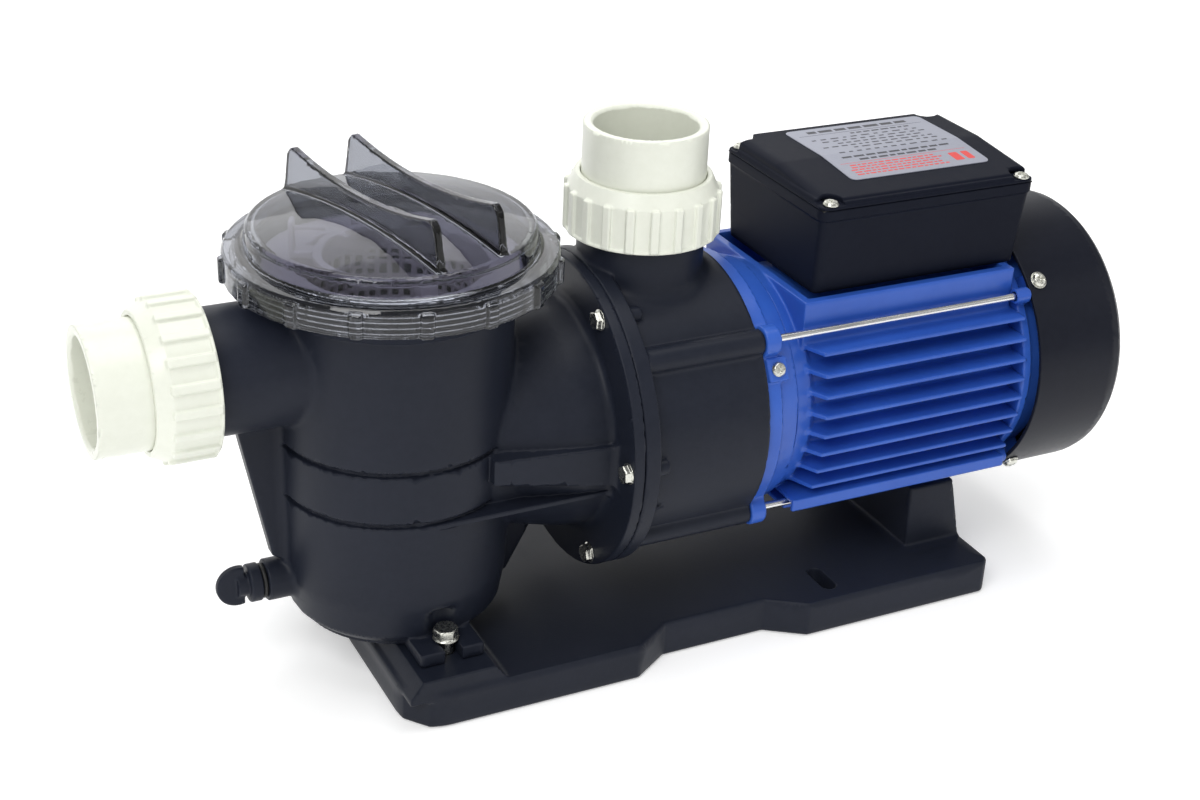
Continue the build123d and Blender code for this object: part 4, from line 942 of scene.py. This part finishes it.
# ---------------------------------------------------------------- basket and handle
def f_basket(P):
    x, y, z = P[:, 0], P[:, 1], P[:, 2]
    gx, gy, rad = fold(x, y, 48)
    mid = 42.1 + (z + 70.0) * (3.4 / 158.6)
    wall = ext(np.abs(rad - mid) - 1.15, span(z, -70.5, 91.0), 0.5) * 0.99
    zc = z - 6.0 * np.clip(np.round((z - 3.0) / 6.0), -11, 12) - 3.0
    hole = ext(np.abs(gy) - 1.75, np.abs(zc) - 1.9, 0.5)
    ribz = np.minimum(np.abs(z - 36.0), np.abs(z + 21.0)) - 2.2
    hole = np.maximum(hole, -ribz)
    s = smax(wall, -hole, 0.5)
    s = smin(s, tube(rad, z, 45.0, 61.8, 88.5, 91.0, 0.8), 1.5)
    fl = ext(rad - 42.9, span(z, -71.0, -68.5), 0.7)
    fx, fy = x - 6.0 * np.round(x / 6.0), y - 6.0 * np.round(y / 6.0)
    fl = smax(fl, -np.maximum(ext(np.abs(fx) - 1.8, np.abs(fy) - 1.8, 0.5), rad - 38.0), 0.5)
    s = smin(s, fl, 1.2)
    lug = ext(ext(np.abs(x) - 4.0, span(np.abs(y), 36.5, 45.5), 0.8), span(z, 88.6, 97.5), 0.8)
    s = smin(s, lug, 0.8)
    return smax(s, -np.maximum(L(x, z - 94.0) - 2.25, span(np.abs(y), 30, 41.6)), 0.3)


field("strainer_basket_v", f_basket, (-63, -63, -72), (63, 63, 98), 1.1, "basket_body", BASKET, "strainer_basket", adapt=0.03)


def f_handle(P):
    x, y, z = P[:, 0], P[:, 1], P[:, 2]
    rad = L(x, y)
    arc = np.maximum(ext(np.abs(rad - 33.65) - 2.2, np.abs(z - 94.0) - 1.75, 0.8), x - 1.0)
    ends = bx(x, np.abs(y), z, -2.0, 3.0, 31.45, 35.85, 92.3, 95.75, 0.8)
    s = np.minimum(arc, ends)
    s = smin(s, np.maximum(L(x, z - 94.0) - 2.0, span(np.abs(y), 33.0, 40.9)), 0.6)
    ca, sa = math.cos(math.radians(155)), math.sin(math.radians(155))
    p, q = x * ca + y * sa, -x * sa + y * ca
    s = smin(s, bx(p, q, z, 33.6, 46.4, -3.7, 3.7, 92.3, 95.5, 0.6), 1.0)
    s = smin(s, bx(p, q, z, 44.0, 46.4, -3.7, 3.7, 92.3, 108.8, 0.6), 0.8)
    s = smin(s, bx(p, q, z, 30.2, 45.0, -0.75, 0.75, 104.1, 105.9, 0.3), 0.4)
    return s


field("basket_handle_v", f_handle, (-47, -42, 91), (4, 42, 109.5), 0.55, "handle_body", BASKET, "basket_handle", adapt=0.02)


# ---------------------------------------------------------------- drain plug
def f_plug(P):
    x, y, z = P[:, 0] , P[:, 1], P[:, 2] + 63.5
    rad = L(y, z)
    s = cyl(rad, x, 9.3, -74.5, -68.7, 0.9)
    gy, gz, _ = fold(y, z, 12)
    s = smin(s, cyl(rad, x, 5.6, -80, -74, 0.5), 1.0)
    wing = ext(L(x + 79.4, z) - 10.3, np.abs(y) - 2.2, 1.2)
    wing = np.maximum(wing, x + 76.4)
    s = smin(s, wing, 1.6)
    th = smax(thread(rad, -x, np.arctan2(y, z), 6.0, 0.6, 1.5), span(x, -68.9, -57.0), 0.4)
    return np.minimum(s, th)


field("drain_plug_v", f_plug, (-90.5, -11, -75), (-56.5, 11, -52), 0.45, "drain_plug_body", BLACK, "drain_plug", adapt=0.02)



# ---------------------------------------------------------------- floor, light, camera
def backdrop():
    me = bpy.data.meshes.new("floor")
    V, F = [], []
    prof = [(-2.5, 0.0), (1.2, 0.0)]
    for i in range(1, 13):
        a = math.pi / 2 * i / 12
        prof.append((1.2 + 0.9 * math.sin(a), 0.9 * (1 - math.cos(a))))
    prof.append((2.1, 3.2))
    for y, z in prof:
        V += [(-4.0, y, z - 0.0004), (4.0, y, z - 0.0004)]
    for i in range(len(prof) - 1):
        F.append((2 * i, 2 * i + 1, 2 * i + 3, 2 * i + 2))
    me.from_pydata(V, [], F)
    me.shade_smooth()
    ob = bpy.data.objects.new("floor", me)
    bpy.context.scene.collection.objects.link(ob)
    m, nt, out = tree("pale_floor")
    p = principled(nt, out)
    nt.links.new(ramp(nt, noise(nt, 3.0, 3.0), [(0.3, (0.91, 0.91, 0.91)), (0.7, (0.93, 0.93, 0.93))]), p.inputs["Base Color"])
    p.inputs["Roughness"].default_value = 0.7
    p.inputs["Specular IOR Level"].default_value = 0.2
    p.inputs["Emission Color"].default_value = (1, 1, 1, 1)
    p.inputs["Emission Strength"].default_value = 0.30
    me.materials.append(m)


backdrop()


def area(name, at, to, size, power, colour=(1, 1, 1)):
    d = bpy.data.lights.new(name, "AREA")
    d.shape = "RECTANGLE"
    d.size, d.size_y = size
    d.energy = power
    d.color = colour
    o = bpy.data.objects.new(name, d)
    bpy.context.scene.collection.objects.link(o)
    o.location = at
    o.rotation_euler = (Vector(to) - Vector(at)).to_track_quat("-Z", "Y").to_euler()
    return o


area("key", (-1.1, -0.9, 1.5), (0, 0, 0.12), (0.9, 0.9), 16)
area("top", (0.1, 0.1, 1.9), (0, 0, 0.1), (1.6, 1.2), 17)
area("right", (1.5, -0.8, 0.7), (0.1, 0, 0.12), (0.7, 1.2), 2)
area("front", (0.2, -1.9, 0.9), (0, 0, 0.1), (1.8, 0.7), 3.5)
area("back", (0.2, 1.6, 1.2), (0, 0, 0.1), (2.0, 0.8), 4)

w = bpy.data.worlds.new("studio")
bpy.context.scene.world = w
w.use_nodes = True
w.node_tree.nodes["Background"].inputs["Color"].default_value = (1, 1, 1, 1)
w.node_tree.nodes["Background"].inputs["Strength"].default_value = 0.36
bpy.context.scene.view_settings.view_transform = "Standard"

cam_d = bpy.data.cameras.new("view")
cam_d.sensor_width = 36.0
cam_d.sensor_fit = "HORIZONTAL"
cam_d.lens = 58.18
cam = bpy.data.objects.new("view", cam_d)
bpy.context.scene.collection.objects.link(cam)
az, el, roll = math.radians(-27.52), math.radians(26.87), math.radians(2.77)
back = Vector((math.sin(az) * math.cos(el), -math.cos(az) * math.cos(el), math.sin(el)))
right = Vector((math.cos(az), math.sin(az), 0.0))
up = right.cross(-back)
r2 = math.cos(roll) * right + math.sin(roll) * up
u2 = -math.sin(roll) * right + math.cos(roll) * up
rot = Matrix((r2, u2, back)).transposed()
cam.matrix_world = Matrix.Translation((-0.40978, -0.76832, 0.55310)) @ rot.to_4x4()
bpy.context.scene.camera = cam
